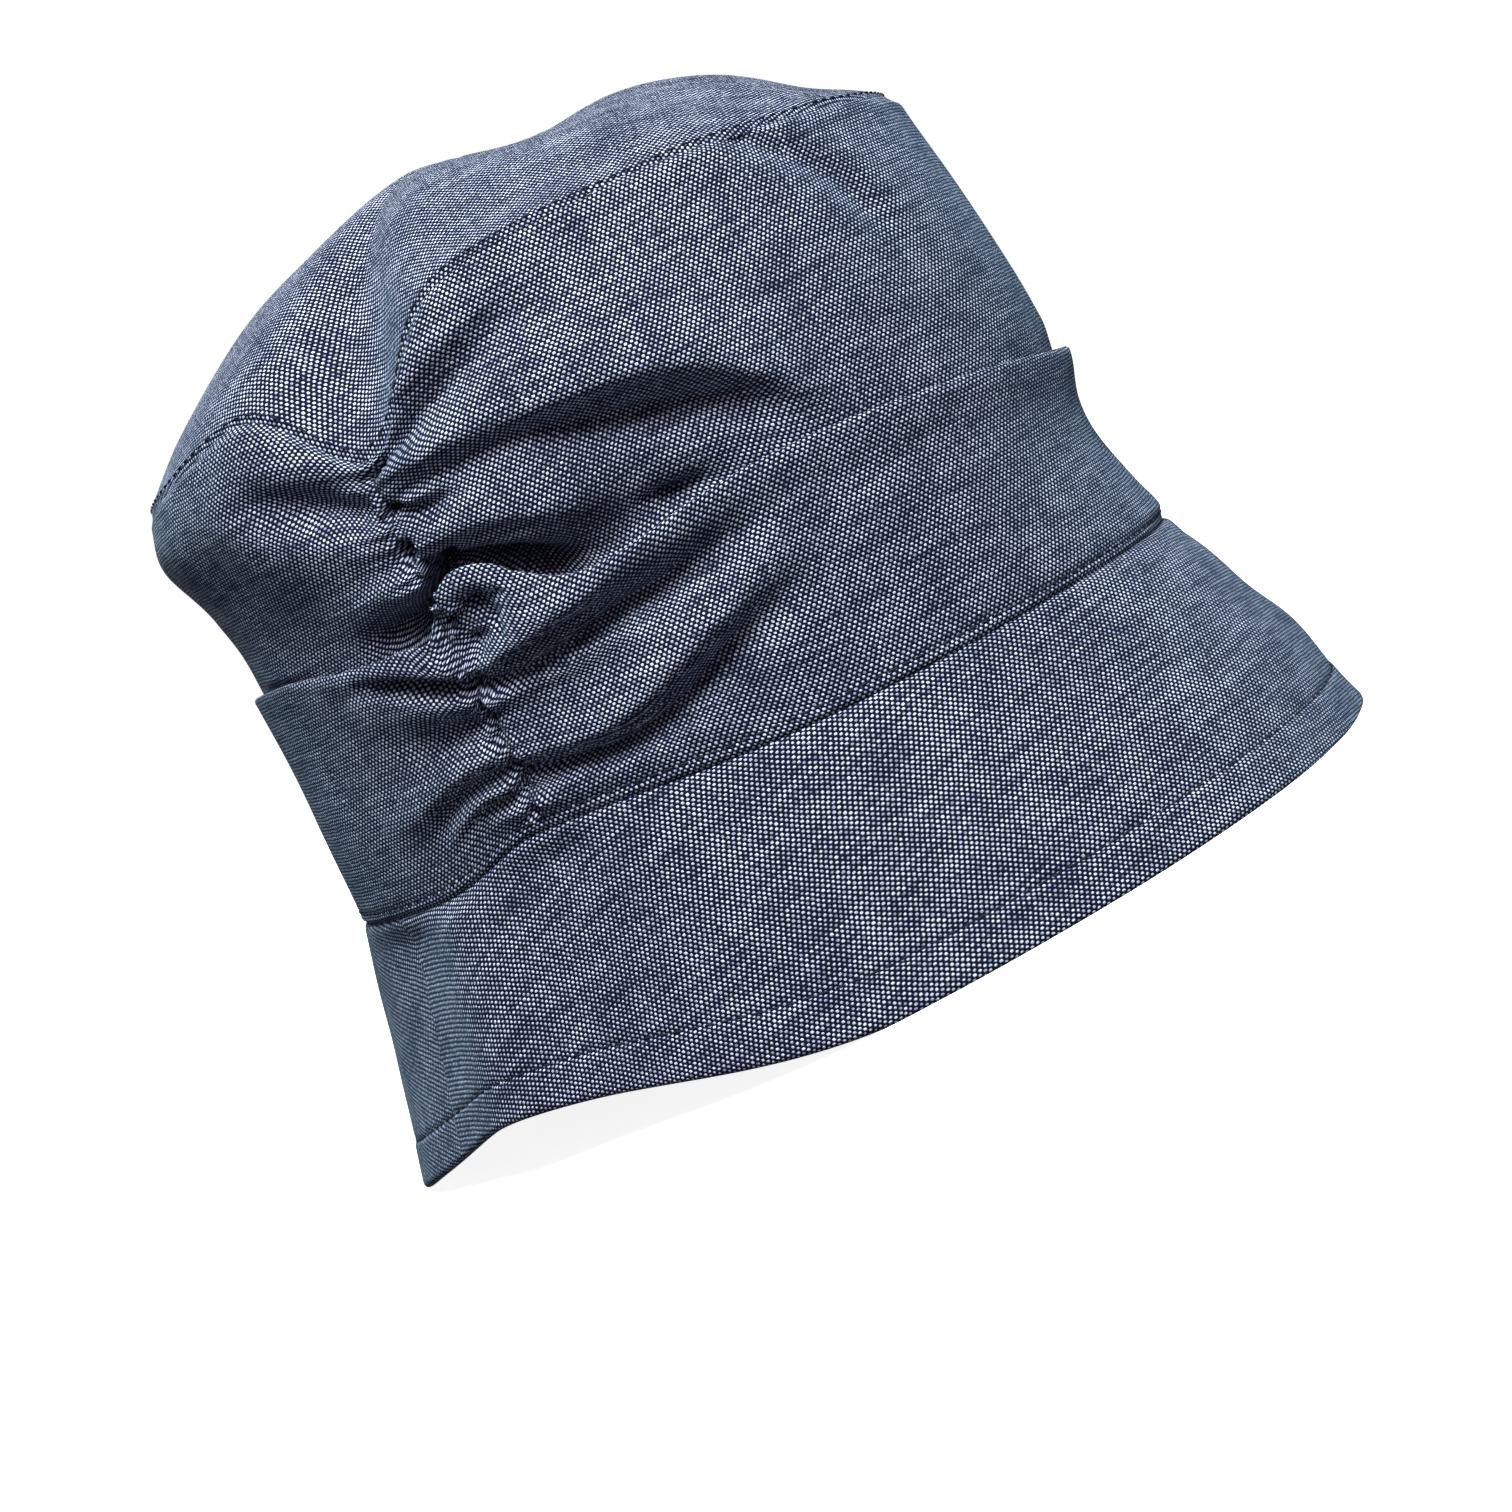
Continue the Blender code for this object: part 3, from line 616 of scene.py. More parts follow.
def woven(name, warp, weft, weft_low, pitch=(WARP_PITCH, WEFT_PITCH), cover=0.2):
    """Plain weave: weft floats show as pale ovals between darker warp threads, and the low points between
    the threads get painted shade.
    """
    n = Nodes(name)
    uv = n.node("ShaderNodeUVMap", uv_map="cloth").outputs["UV"]
    part = n.node("ShaderNodeSeparateXYZ", {"Vector": uv})
    u, v = part.outputs["X"], part.outputs["Y"]
    drift_u = n.scaled(n.noise(uv, 0.35), 0.5, u)
    drift_v = n.scaled(n.noise(n.point(v, u, 7.0), 0.35), 0.5, v)
    a, b = n.maths("DIVIDE", drift_u, pitch[0]), n.maths("DIVIDE", drift_v, pitch[1])
    wave = n.scaled(n.maths("SINE", n.scaled(a, math.pi)), n.maths("SINE", n.scaled(b, math.pi)))

    def roundness(value):
        across = n.maths("SUBTRACT", n.maths("FRACT", value), 0.5)
        square = n.scaled(n.scaled(across, across), -3.6)
        return n.maths("SQRT", n.maths("ADD", square, 1.0))

    weft_row, warp_row = n.maths("FLOOR", b), n.maths("FLOOR", a)

    def streaks(run, row, far):
        """Uneven spinning: a slow change along each thread, partly shared by its neighbours."""
        slow = n.scaled(run, 0.045)
        own = n.noise(n.point(slow, n.scaled(row, 5.37), far), 1.0)
        near = n.noise(n.point(slow, n.scaled(row, 0.42), far + 9), 1.0)
        return n.maths("SUBTRACT", n.scaled(near, 0.4, n.scaled(own, 0.6)), 0.5)

    weft_slub, warp_slub = streaks(a, weft_row, 0.0), streaks(b, warp_row, 40.0)
    fleck = n.noise(n.point(n.scaled(a, 0.61), n.scaled(b, 1.3), 3.0), 1.0, 1.0)
    cloud = n.noise(n.point(u, v, 60.0), 0.09)
    high_weft = n.scaled(wave, 0.5, n.scaled(roundness(b), 0.55))
    high_warp = n.scaled(wave, -0.5, n.scaled(roundness(a), 0.55))
    # The higher thread shows, and a thick thread shows wider.
    lead = n.maths("SUBTRACT", high_weft, high_warp)
    lead = n.scaled(weft_slub, 0.85, lead)
    lead = n.scaled(warp_slub, -1.05, lead)
    lead = n.scaled(n.maths("SUBTRACT", cloud, 0.5), 0.2, lead)
    shown = n.span(lead, cover - 0.12, cover + 0.2)
    height = n.maths("MAXIMUM", high_weft, high_warp)
    pale = n.scaled(fleck, 1.0, n.scaled(cloud, 0.3))
    pale = n.scaled(weft_slub, 0.7, pale)
    weft_colour = n.mix(n.span(pale, 0.4, 0.86), opaque(weft_low), opaque(weft))
    warp_colour = n.mix(n.span(warp_slub, -0.05, 0.15), opaque(warp), opaque(warp, 2.4))
    colour = n.mix(shown, warp_colour, weft_colour)
    # Painted shade: the low points between the threads are darkened towards near black.
    gap_shade = n.scaled(n.maths("SUBTRACT", 1.0, n.span(height, 0.3, 0.75)), 0.6)
    colour = n.mix(gap_shade, colour, opaque(GAP_SHADE_COLOUR))
    n.surface({
        "Base Color": colour,
        "Roughness": n.span(fleck, 0.2, 0.8, 0.78, 0.95, False),
        "Sheen Weight": 0.2,
        "Sheen Roughness": 0.45,
        "Sheen Tint": opaque((0.4, 0.72, 1.0)),
        "Specular IOR Level": 0.25,
        "Normal": n.bump(height, 0.8, WEAVE_BUMP),
    })
    return n.material


def spun(name, colour, ribs_scale=1200.0):
    """Twisted thread: fine slanting ribs, with painted shade in the grooves between them."""
    n = Nodes(name)
    where = n.node("ShaderNodeTexCoord").outputs["Object"]
    ribs = n.node("ShaderNodeTexWave", {"Vector": where, "Scale": ribs_scale, "Distortion": 1.5})
    shade = n.span(ribs.outputs["Fac"], 0.1, 0.9, 0.55, 1.0)
    # Painted shade: the grooves between the ribs are darkened to half the thread's colour.
    colour = n.mix(shade, opaque(colour, 0.5), opaque(colour))
    n.surface({"Base Color": colour, "Roughness": 0.7, "Normal": n.bump(shade, 0.5, THREAD_BUMP)})
    return n.material


# Each cloth: the warp's colour, the weft's, the weft's where it dips, and the threads' pitches.
CHAMBRAY = woven("chambray", (0.0022, 0.0028, 0.0145), (0.78, 0.81, 1.0), (0.25, 0.27, 0.4), cover=0.3)
LINING = woven("lining_cloth", (0.2, 0.23, 0.3), (0.5, 0.52, 0.58), (0.34, 0.37, 0.44), (0.3, 0.3))
SWEAT = woven("sweatband_cloth", (0.01, 0.013, 0.03), (0.05, 0.06, 0.1), (0.03, 0.035, 0.06), (0.4, 0.4))
STIFFENER = woven("stiffener_cloth", (0.5, 0.49, 0.46), (0.8, 0.79, 0.75), (0.6, 0.59, 0.56), (0.5, 0.5))
TAPE = woven("tape_cloth", (0.006, 0.008, 0.02), (0.03, 0.035, 0.06), (0.015, 0.02, 0.04), (0.35, 0.35))
LABEL = woven("label_cloth", (0.6, 0.6, 0.58), (0.85, 0.85, 0.83), (0.75, 0.75, 0.73), (0.25, 0.25))
THREAD = spun("navy_thread", (0.02, 0.025, 0.05))


# -------- the hat's cloth


def smooth_rows(values, passes):
    """Spreads values a little along columns and rows, keeping the grid's shape."""
    for _ in range(passes):
        padded = np.pad(values, ((1, 1), (0, 0)), mode="edge")
        values = blurred((padded[:-2] + 2 * padded[1:-1] + padded[2:]) / 4, 1)
    return values


def drooped(p, relief):
    """Crests sink, and valleys rise, by a share of their relief."""
    return p - np.minimum(SAG * relief, MOST_SAG)[..., None] * UP


def displaced(base, relief):
    """A surface moved by its relief, with crests drawn down over the valleys below them."""
    return drooped(out_by(base, relief), relief)


def crown_face(angle, rows):
    """Outer face of the gathered side of the crown, which stays inside the band where the band covers it."""
    base = crown_wall(angle, rows, CROWN_OUT)
    z = base[..., 2]
    edge = band_edge(angle)
    relief = crown_relief(angle, z)
    above_band = step((z - edge + 16.0) / 12.0)
    seam = step((crown_wall(angle, [4.0], CROWN_OUT)[0, :, 2] - z) / SEAM_SOFT)
    relief = relief * above_band * (0.25 + 0.75 * seam) - SEAM_SINK * (1 - seam)
    covered = np.minimum(z, edge - 1.0)
    band = band_relief(angle, covered) + band_flare(angle, covered)
    behind = step((edge + 2.0 - z) / 3.5)
    relief = relief + behind * (np.minimum(relief, band - 0.6) - relief)
    return displaced(base, relief)


def make_crown_side():
    hidden, seen = np.linspace(0.0, 0.8, 9), np.linspace(0.83, 4.0, 108)
    p = crown_face(ANGLES, np.concatenate([hidden, seen]))
    piece = cloth_ring("crown_side_cloth", p, wall_cloth(p, 60, ANGLES), CLOTH)
    stand_for(piece, CHAMBRAY, "crown_side", flat=(0.61, 0.12), held="gathered")


def wall_at(angle, z, offset):
    """The crown wall at given heights, one row of heights for each row of the result."""
    table = crown_wall(angle, np.linspace(0, 4, 161), offset)
    out = np.empty(z.shape + (3,))
    for j in range(z.shape[1]):
        column = table[:, j]
        for axis in (0, 1):
            out[:, j, axis] = np.interp(z[:, j], column[:, 2], column[:, axis])
    out[..., 2] = z
    return out


def band_flare(angle, z):
    """The band stands off the crown towards its top edge, most at the front."""
    front = 0.5 + 0.5 * np.cos(np.radians(angle))
    return (0.2 + 1.6 * front) * step((z - band_edge(angle) + 16.0) / 16.0) ** 1.5


def band_face(angle, z):
    """Outer leaf of the band, with the relief it was moved by."""
    base = wall_at(angle, z, 0.0)
    relief = band_relief(angle, z) + band_flare(angle, z)
    foot = z - crown_seam(angle, 0.0)[..., 2]
    relief = relief - 0.7 * (1 - step(foot / 1.2)) - 0.3 * bell((foot - BAND_ROW) / 0.7)
    return displaced(base, relief), relief


def half_turn(edge, onward, out, radius, count):
    """Rows that turn a cloth over by half a circle at its edge, going onward and then in behind it."""
    onward = onward / np.linalg.norm(onward, axis=-1, keepdims=True)
    middle = edge - radius * out
    turns = np.radians(180.0 * np.arange(1, count + 1) / count)
    return np.array([middle + radius * (out * math.cos(t) + onward * math.sin(t)) for t in turns])


def make_band():
    """The outer leaf from the seam up, the rounded fold at the top, and the leaf turned in behind."""
    seam = crown_seam(ANGLES, 0.0)[..., 2] - 0.2
    share = np.concatenate([np.linspace(0, 0.07, 8)[:-1], np.linspace(0.07, 1, 74)])
    z = seam + (band_edge(ANGLES) - FOLD_ROUND - seam) * share[:, None]
    outer, _ = band_face(ANGLES, z)
    fold = half_turn(outer[-1], outer[-1] - outer[-3], grid_normals(outer[-4:])[-1], FOLD_ROUND, 5)
    back = []
    for down in np.linspace(1.0, BAND_TURNED_IN, 31):
        height = np.maximum(z[-1] - down, seam + 0.6)
        wall = wall_at(ANGLES, height[None], 0.0)
        n = grid_normals(np.concatenate([wall, wall + UP]))[0]
        here = band_face(ANGLES, np.array([height, height + 1.0]))[1][0]
        offset = here - 2 * FOLD_ROUND + 0.8 * step(np.array(down / 13.0))
        back.append(drooped(wall[0] + offset[:, None] * n, offset + 2 * FOLD_ROUND))
    p = np.concatenate([outer, fold, np.array(back)])
    piece = cloth_ring("outer_band_cloth", p, wall_cloth(p, 44, ANGLES), LEAF)
    stand_for(piece, CHAMBRAY, "outer_band", "band_end_loop", flat=(0.6, 0.1), held="folded")


def tip_relief(base, share):
    """Soft waves of the tip, and the ridge that runs back and across from the ruched line's top."""
    x, y = base[..., 0], base[..., 1]
    a = np.degrees(np.arctan2(y, x - PLAN_X))
    share = share[:, None]
    ridge_x = smooth_line(y, (-80, -55, -10, 30), (-35.5, -26.5, -16.0, -8))
    d = x - ridge_x
    ridge = 3.2 * np.exp(-(np.abs(d / np.where(d < 0, 17.0, 12.0)) ** 1.6))
    ridge *= step((y + 80) / 36) * step((36 - y) / 50)
    wave = 0.9 * np.sin(x / 21.0 + 1.2) * np.sin(y / 26.0 + 0.4) + 0.5 * np.sin((x + 1.6 * y) / 15.0)
    back = 1.6 * bell(turned(a, -166.0) / 26.0) * step((share - 0.35) / 0.3)
    pull = -1.6 * bell(turned(a, -119.0) / 6.0) * step((share - 0.62) / 0.3)
    dents = -3.4 * bell((x - 13.0) / 15.0) * bell((y + 4.0) / 32.0)
    dents += -2.4 * bell((x - 72.0) / 12.0) * bell((y + 20.0) / 26.0)
    relief = ridge + wave + back + pull + dents
    return relief * step((1.02 - share) / 0.16) + ripple(a, base[..., 2], 17, 11.0, 0.15)


def tip_face(angle, share):
    base = dome(angle, share, CROWN_OUT) + 0.3 * UP
    relief = tip_relief(base, share)
    seam = step((1.0 - share) / 0.022)[:, None]
    return out_by(base, relief * (0.25 + 0.75 * seam) - SEAM_SINK * (1 - seam))


def make_tip():
    share = np.concatenate([np.linspace(1.0, 0.92, 16), np.linspace(0.91, 0.02, 76)])
    p = tip_face(ANGLES, share)
    piece = cap("crown_tip_cloth", p, tip_cloth(p), CLOTH)
    stand_for(piece, CHAMBRAY, "crown_tip", flat=(0.215, 0.17), held="stretched", area=0.0287)


def tip_cloth(p):
    """Cloth positions on a dome: distance from the middle, in the direction of the point."""
    down = row_lengths(p)
    reach = down[-1] - down + np.hypot(p[-1, :, 0] - PLAN_X, p[-1, :, 1])
    way = np.arctan2(p[..., 1], p[..., 0] - PLAN_X)
    xy = np.stack([reach * np.cos(way), reach * np.sin(way)], -1)
    return np.concatenate([xy, xy[:, :1]], axis=1)


def cap(name, p, cloth, thick):
    """A closed shell from a dome's outer face, whose last row is small and closed with a fan."""
    rows, n = p.shape[:2]
    inner = out_by(p, -thick)
    points = np.vstack([p.reshape(-1, 3), inner.reshape(-1, 3), p[-1].mean(axis=0), inner[-1].mean(axis=0)])
    index, inside = numbered(rows, n), rows * n
    face, face_uv = corners(index).reshape(-1, 4), corners(cloth).reshape(-1, 4, 2)
    a, b = index[0, :-1], index[0, 1:]
    rim = np.stack([a, a + inside, b + inside, b], -1)
    rim_uv = cloth[0][np.stack([np.arange(n)] * 2 + [np.arange(1, n + 1)] * 2, -1)]
    a, b = index[-1, :-1], index[-1, 1:]
    top = np.stack([a, b, np.full(n, 2 * inside)], -1)
    low = np.stack([b + inside, a + inside, np.full(n, 2 * inside + 1)], -1)
    quads = np.concatenate([face, face[:, ::-1] + inside, rim])
    quad_uv = np.concatenate([face_uv, face_uv[:, ::-1], rim_uv])
    top_uv = np.stack([cloth[-1, :-1], cloth[-1, 1:], np.zeros((n, 2))], 1)
    fans_uv = np.concatenate([top_uv, top_uv[:, [1, 0, 2]]])
    uvs = np.concatenate([quad_uv.reshape(-1, 2), fans_uv.reshape(-1, 2)])
    return make_mesh(name, points, quads.tolist() + top.tolist() + low.tolist(), uvs)


def brim_relief(angle, share):
    """Soft waves of the brim, and the turn behind the ruched line."""
    share = share[:, None]
    a = angle + 0 * share
    z = BRIM_SLANT * share + 0 * a
    turn = 3.4 * bell(turned(a, -137.0) / 7.0) - 1.6 * bell(turned(a, -153.0) / 9.0)
    turn += -1.4 * bell(turned(a, -120.0) / 9.0)
    waves = ripple(a, z, 23, 30.0, 0.8) + ripple(a, z, 29, 10.0, 0.15)
    relief = (turn + waves) * step((1.0 - share) / 0.12)
    full = 2.6 * bell((share - 0.8) / 0.2) + 2.4 * bell((share - 0.42) / 0.2) - 1.4 * bell(share / 0.18)
    relief += facing(a) * full
    # The row of stitches sinks in, and the hem outside it is thicker.
    from_stitches = share * BRIM_SLANT - STITCH_INSET
    relief += -0.35 * bell(from_stitches / 0.8) + 0.25 * step(-from_stitches / 1.2)
    # The cloth sinks into the seam, and goes on up behind the band.
    relief += -1.2 * step((share - 1.0) * BRIM_SLANT / 1.5)
    return relief - 0.6 * (1 - step((1.0 - share) * BRIM_SLANT / 1.2))


def brim_layer(angle, share, offset=0.0):
    return out_by(brim_face(angle, share, offset), brim_relief(angle, share))


def brim_cloth(p, edge_row, seam_row):
    """Cloth positions on a brim cut as a flat fan, with its grain along one side of it."""
    slant = np.linalg.norm(p[seam_row] - p[edge_row], axis=-1).mean()
    around = round_lengths(p[edge_row])
    share = row_lengths(p)
    share = (share - share[edge_row]) / slant
    apex = around[-1] / (2 * math.pi * FAN)
    reach = apex - slant * share
    turn = math.radians(FAN) * (np.append(ANGLES, ANGLES[0] + 360.0) + FAN_GRAIN)
    reach = np.hstack([reach, reach[:, :1]])
    return np.stack([reach * np.sin(turn), -reach * np.cos(turn)], -1)


def make_brim():
    """A short lip inside, the rounded hem, the face, and a strip that goes up behind the band."""
    tucked = np.array([1.01, 1.025, 1.045])
    hem = np.linspace(HEM_ROUND / BRIM_SLANT, 0.22, 28)[:-1]
    outer = brim_layer(ANGLES, np.concatenate([hem, np.linspace(0.22, 1.0, 60), tucked]))
    rise = outer[1] - outer[0]
    rise /= np.linalg.norm(rise, axis=-1, keepdims=True)
    fold = half_turn(outer[0], -rise, grid_normals(outer[:3])[0], HEM_ROUND, 6)[::-1]
    lip = [fold[0] + rise * up for up in (6.0, 4.0, 2.0, 0.8)]
    p = np.concatenate([np.array(lip), fold, outer])
    cloth = brim_cloth(p, len(lip) + 3, len(p) - 1 - len(tucked))
    piece = cloth_ring("brim_top_cloth", p, cloth, CLOTH)
    stand_for(piece, CHAMBRAY, "brim_top", flat=(0.61, 0.2), held="stretched", area=0.045)


def make_brim_under():
    share = np.linspace(0.06, 0.985, 40)
    p = brim_layer(ANGLES, share, BRIM_UNDER_OUT)
    piece = cloth_ring("brim_under_cloth", p, brim_cloth(p, 0, len(p) - 1), LEAF)
    stand_for(piece, CHAMBRAY, "brim_under", flat=(0.6, 0.195), held="stretched", area=0.039)
    angle = ANGLES[::2]
    p = brim_layer(angle, share[::3], INTERFACING_OUT)
    piece = cloth_ring("brim_interfacing_cloth", p, wall_cloth(p, 4, angle), INTERFACING)
    stand_for(piece, STIFFENER, "brim_interfacing", flat=(0.6, 0.195), held="stretched", area=0.038)


def make_lining():
    angle = ANGLES[::3]
    rows = np.linspace(0.03, 3.96, 64)
    base = crown_wall(angle, rows, CROWN_OUT)
    p = out_by(base, crown_dents(angle, rows, base) - LINING_GAP)
    piece = cloth_ring("crown_lining_side_cloth", p, wall_cloth(p, 30, angle), LINING_CLOTH)
    stand_for(piece, LINING, "crown_lining_side", flat=(0.57, 0.115), held="stretched")
    share = np.linspace(1.0, 0.02, 30)
    base = dome(angle, share, CROWN_OUT)
    p = out_by(base, smooth_rows(np.minimum(tip_relief(base, share), 0), 4) - LINING_GAP)
    piece = cap("crown_lining_tip_cloth", p, tip_cloth(p), LINING_CLOTH)
    stand_for(piece, LINING, "crown_lining_tip", flat=(0.21, 0.165), held="stretched", area=0.027)


def inner_wall(angle, heights, out):
    """A face inside the hat at heights above the crown seam, drawn in behind the ruched line."""
    foot = crown_seam(angle, out)
    drawn = -INNER_DRAW * bell(turned(angle, RUCHE) / 30.0)
    rows = []
    for z in heights:
        lean = drawn * step(np.array(z / 40.0)) - INNER_LEAN * z
        rows.append(foot + z * UP + outward(angle, lean))
    return np.array(rows)


def make_inner_bands():
    angle = ANGLES[::3]
    for name, top, out, thick, rows, material, flat in (
        ("crown_seam_tape", CROWN_TAPE_TOP, CROWN_TAPE_OUT, CROWN_TAPE, 5, TAPE, (0.57, 0.011)),
        ("sweatband", SWEATBAND_TOP, SWEATBAND_OUT, SWEATBAND, 16, SWEAT, (0.57, 0.033)),
    ):
        p = inner_wall(angle, np.linspace(INNER_FOOT, top, rows), out)
        piece = cloth_ring(name + "_cloth", p, wall_cloth(p, rows // 2, angle), thick)
        stand_for(piece, material, name, flat=flat, held="stretched")
    p = out_by(crown_face(angle, np.linspace(3.5, 3.95, 8)), -TIP_TAPE_GAP)
    piece = cloth_ring("tip_seam_tape_cloth", p, wall_cloth(p, 3, angle), TAPE_CLOTH)
    stand_for(piece, TAPE, "tip_seam_tape", flat=(0.56, 0.01), held="stretched")


def make_gather_tape():
    angle, wide = np.linspace(RUCHE - 3.0, RUCHE + 3.0, 9), np.linspace(RUCHE - 6.0, RUCHE + 6.0, 17)
    rows = np.linspace(0.2, 3.6, 90)
    base = crown_wall(angle, rows, CROWN_OUT)
    n = np.cross(np.gradient(base, axis=1), np.gradient(base, axis=0))
    n /= np.linalg.norm(n, axis=-1, keepdims=True)
    dents = crown_dents(wide, rows, crown_wall(wide, rows, CROWN_OUT))[:, 4:13]
    piece = patch("gather_tape_cloth", base + (dents - GATHER_TAPE_GAP)[..., None] * n, n, TAPE_CLOTH)
    stand_for(piece, TAPE, "gather_tape", flat=(0.0105, 0.1), held="gathered")


def make_label():
    angle = np.linspace(180.0 - LABEL_HALF, 180.0 + LABEL_HALF, 13)
    p = inner_wall(angle, np.linspace(LABEL_FOOT, LABEL_TOP, 12), LABEL_OUT)
    piece = patch("care_label_cloth", p, outward(angle, 1.0) + 0 * p, TAPE_CLOTH)
    stand_for(piece, LABEL, "care_label", flat=(0.0295, 0.02), held="stretched")


def crown_dents(angle, rows, base):
    """How far the crown's folds dip inwards, spread a little so that the lining stays clear of them."""
    depth = ((crown_face(angle, rows) - base) * grid_normals(base)).sum(axis=-1)
    depth = np.minimum(depth, 0)
    for _ in range(3):
        depth = np.minimum(depth, np.minimum(np.roll(depth, 1, axis=1), np.roll(depth, -1, axis=1)))
        padded = np.pad(depth, ((1, 1), (0, 0)), mode="edge")
        depth = np.minimum(depth, np.minimum(padded[:-2], padded[2:]))
    return smooth_rows(depth, 3)


def patch(name, p, n, thick):
    """A closed thin slab from an open grid of points and its normals."""
    rows, cols = p.shape[:2]
    count = rows * cols
    points = np.concatenate([p.reshape(-1, 3), (p - thick * n).reshape(-1, 3)])
    index = np.arange(count).reshape(rows, cols)
    face = corners(index).reshape(-1, 4)
    ring = np.concatenate([index[0, :-1], index[:-1, -1], index[-1, :0:-1], index[:0:-1, 0]])
    after = np.roll(ring, -1)
    side = np.stack([ring, ring + count, after + count, after], -1)
    faces = np.concatenate([face, face[:, ::-1] + count, side])
    across, up = np.meshgrid(np.arange(cols) * 1.0, np.arange(rows) * 1.0)
    cloth = np.tile(np.stack([across, up], -1).reshape(-1, 2), (2, 1))
    return make_mesh(name, points, faces.tolist(), cloth[faces.ravel()])


# -------- stitches


STITCH_SINK, STITCH_SPOTS, STITCH_SIDES = 0.3, 7, 6


def stitch_points(line, out, pitch, length, radius):
    """Rings of points round each short thread, whose ends go down into the cloth."""
    travel = np.concatenate([[0.0], np.cumsum(np.linalg.norm(np.diff(line, axis=0), axis=-1))])
    starts = np.arange(0.4 * pitch, travel[-1] - length, pitch)
    spots = np.linspace(0, 1, STITCH_SPOTS)
    where = starts[:, None] + length * spots
    centre = np.stack([np.interp(where, travel, line[:, k]) for k in range(3)], -1)
    up = np.stack([np.interp(where, travel, out[:, k]) for k in range(3)], -1)
    up /= np.linalg.norm(up, axis=-1, keepdims=True)
    lift = radius * 0.75 - (radius + STITCH_SINK) * np.abs(2 * spots - 1) ** 3
    centre = centre + lift[None, :, None] * up
    run = np.gradient(centre, axis=1)
    run /= np.linalg.norm(run, axis=-1, keepdims=True)
    across = np.cross(up, run)
    across /= np.linalg.norm(across, axis=-1, keepdims=True)
    lifted = np.cross(run, across)
    size = radius * np.sqrt(1.0 - 0.85 * np.abs(2 * spots - 1) ** 4)
    turn = np.arange(STITCH_SIDES) * 2 * math.pi / STITCH_SIDES
    rim = np.cos(turn)[:, None] * across[:, :, None] + np.sin(turn)[:, None] * lifted[:, :, None]
    return centre[:, :, None] + size[None, :, None, None] * rim


def stitches(name, line, out, pitch, length, radius, node):
    """A row of short threads along a line of points."""
    points = stitch_points(line, out, pitch, length, radius)
    count, rings, sides = points.shape[:3]
    index = numbered(count * rings, sides).reshape(count, rings, sides + 1)
    faces = corners(index.transpose(1, 2, 0)).transpose(3, 0, 1, 2).reshape(-1, 4)[:, [0, 3, 2, 1]].tolist()
    ends = index[:, 0, :-1].tolist() + index[:, -1, -2::-1].tolist()
    uvs = np.zeros((4 * len(faces) + sides * len(ends), 2))
    stand_for(make_mesh(name, points.reshape(-1, 3), faces + ends, uvs), THREAD, node)


def middle_line(face):
    """The middle row of a face of three, closed, and the direction out of the cloth along it."""
    line, out = face[1], grid_normals(face)[1]
    return np.vstack([line, line[:1]]), np.vstack([out, out[:1]])


def make_stitches():
    """Each row is given its pitch, the length of a stitch and the thread's radius."""
    angle = np.arange(-180.0, 180.0, 0.5)
    foot = crown_seam(angle, 0.0)[..., 2]
    face, _ = band_face(angle, foot + BESIDE[:, None] + BAND_ROW)
    stitches("band_topstitch_thread", *middle_line(face), 3.4, 2.6, 0.22, "band_topstitch")
    face = brim_layer(angle, (STITCH_INSET + BESIDE) / BRIM_SLANT)
    stitches("brim_topstitch_thread", *middle_line(face), 3.6, 2.7, 0.22, "brim_topstitch")
    face = tip_face(angle, 1.0 - (TIP_ROW + BESIDE) / 100.0)
    stitches("tip_topstitch_thread", *middle_line(face), 3.4, 2.4, 0.2, "tip_topstitch")
    line, out = middle_line(inner_wall(angle, SWEATBAND_STITCH_AT + BESIDE, SWEATBAND_OUT - SWEATBAND))
    stitches("sweatband_stitch_thread", line, -out, 3.4, 2.6, 0.2, "sweatband_stitch")
    make_gathering_thread()


def make_gathering_thread():
    """It runs up the ruched line, over the band and then over the crown."""
    z = np.arange(64.0, 150.0, 0.5)
    line, out = [], []
    for height, place in zip(z, ruched_line(z)):
        spread = place + 0.6 * BESIDE
        grid = height + 0.5 * BESIDE[:, None] + 0 * spread
        if height < band_edge(np.array([place]))[0] - 2.0:
            p = band_face(spread, grid)[0]
        else:
            relief = crown_relief(spread, grid)
            p = wall_at(spread, grid, CROWN_OUT) + relief[..., None] * outward(spread, 1.0)
            p = drooped(p, relief)
        line.append(p[1, 1])
        out.append(outward(np.array([place]), 1.0)[0])
    stitches("gathering_thread_run", np.array(line), np.array(out), 4.1, 3.0, 0.24, "gathering_thread")


# -------- stage


HAT_MIDDLE = -0.0086  # metres


def make_world():
    """White to the camera, and almost no light to the hat."""
    world = bpy.data.worlds.new("world")
    bpy.context.scene.world = world
    world.use_nodes = True
    tree = world.node_tree
    back = tree.nodes["Background"]
    back.inputs["Color"].default_value = (0.86, 0.93, 1.0, 1)
    back.inputs["Strength"].default_value = AMBIENT
    wall = tree.nodes.new("ShaderNodeBackground")
    wall.inputs["Color"].default_value = (1, 1, 1, 1)
    path = tree.nodes.new("ShaderNodeLightPath")
    mix = tree.nodes.new("ShaderNodeMixShader")
    tree.links.new(path.outputs["Is Camera Ray"], mix.inputs["Fac"])
    tree.links.new(back.outputs[0], mix.inputs[1])
    tree.links.new(wall.outputs[0], mix.inputs[2])
    tree.links.new(mix.outputs[0], tree.nodes["World Output"].inputs["Surface"])


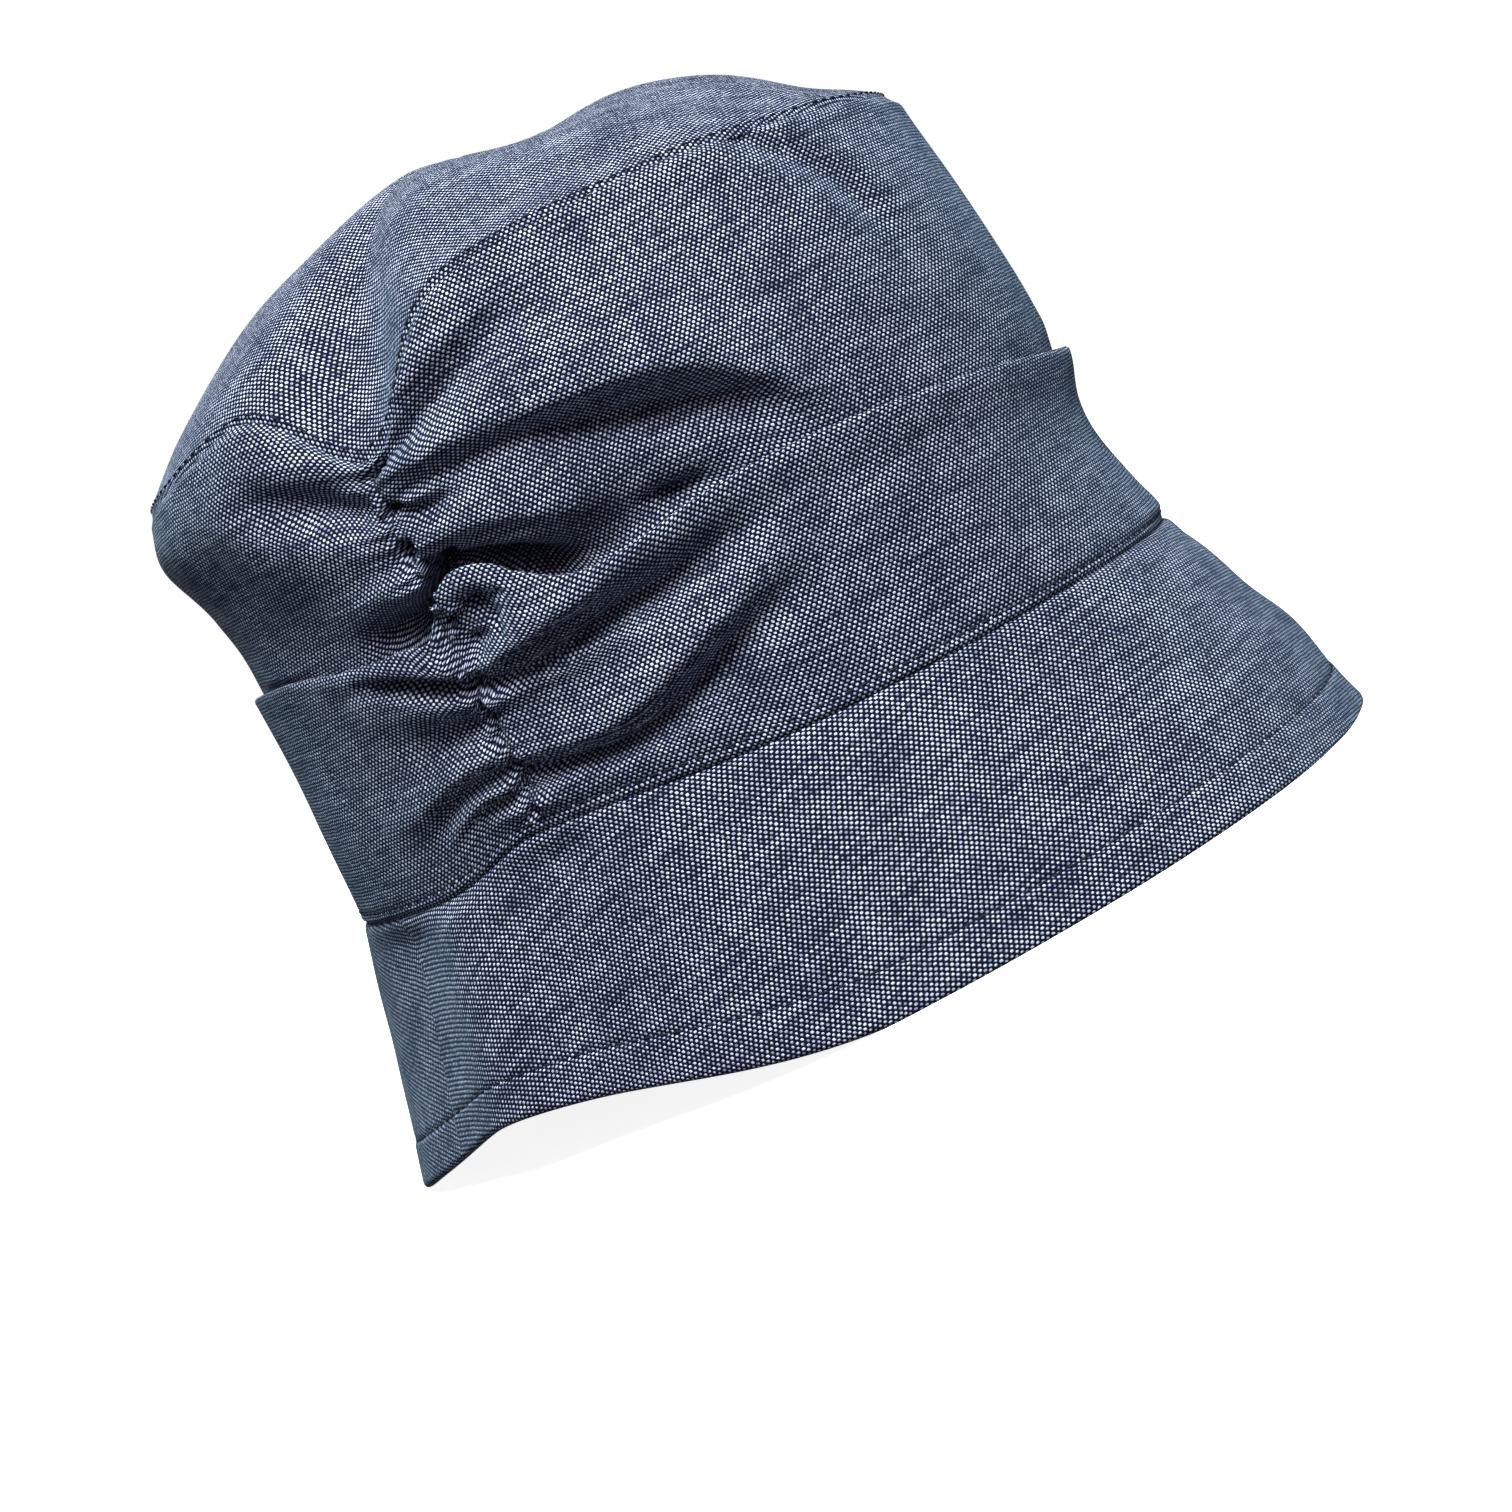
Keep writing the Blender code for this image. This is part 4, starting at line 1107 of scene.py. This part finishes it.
def make_floor():
    """Pale to the camera by a painted glow, brighter away from the hat and dimmer near it, and darker to the
    light that it throws back.
    """
    bpy.ops.mesh.primitive_plane_add(size=30.0, location=(0, 0, 0))
    floor = bpy.context.object
    floor.name = "floor"
    n = Nodes("floor")
    seen = n.node("ShaderNodeLightPath").outputs["Is Camera Ray"]
    place = n.node("ShaderNodeTexCoord").outputs["Object"]
    away = n.node("ShaderNodeVectorMath", {0: place}, operation="LENGTH").outputs["Value"]
    # Painted glow seen only by the camera, weaker near the hat so that the hat's shadow shows there; other
    # rays see a dark base colour.
    n.surface({
        "Base Color": n.mix(seen, opaque((0.12, 0.125, 0.14)), opaque((0.9, 0.9, 0.9))),
        "Emission Color": opaque((1.0, 1.0, 1.0)),
        "Emission Strength": n.scaled(n.span(away, 0.08, 0.3, 0.9, 1.15), seen),
        "Roughness": 0.95,
        "Specular IOR Level": 0.0,
    })
    floor.data.materials.append(n.material)


def make_lamps():
    middle = mathutils.Vector((HAT_MIDDLE, 0.0, 0.1))
    for name, way, distance, size, power, colour in LAMPS:
        lamp = bpy.data.lights.new(name, "AREA")
        lamp.size = size
        lamp.energy = power
        lamp.color = colour
        obj = placed(name, lamp)
        obj.location = middle + mathutils.Vector(way).normalized() * distance
        obj.rotation_euler = (middle - obj.location).to_track_quat("-Z", "Y").to_euler()


def make_camera():
    """Level with the brim, looking at the wearer's right side, rolled as a tilted head holds the hat."""
    elevation, roll, distance, field = math.radians(5.0), math.radians(27.8), 0.8, 0.35
    target = mathutils.Vector((HAT_MIDDLE, 0.0, 0.052))
    back = mathutils.Vector((0.0, -math.cos(elevation), math.sin(elevation)))
    right = mathutils.Vector((1.0, 0.0, 0.0))
    up = back.cross(right)
    cam = bpy.data.cameras.new("camera")
    cam.sensor_width = 36.0
    cam.lens = 36.0 * distance / field
    obj = placed("camera", cam)
    side = right * math.cos(roll) - up * math.sin(roll)
    top = up * math.cos(roll) + right * math.sin(roll)
    turn = mathutils.Matrix((side, top, back)).transposed()
    obj.matrix_world = mathutils.Matrix.Translation(target + back * distance) @ turn.to_4x4()
    bpy.context.scene.camera = obj


make_camera()
make_world()
make_floor()
make_lamps()
make_crown_side()
make_band()
make_tip()
make_brim()
make_brim_under()
make_lining()
make_inner_bands()
make_gather_tape()
make_label()
make_stitches()

bpy.context.scene.view_settings.view_transform = "Standard"
bpy.context.scene.view_settings.gamma = CONTRAST
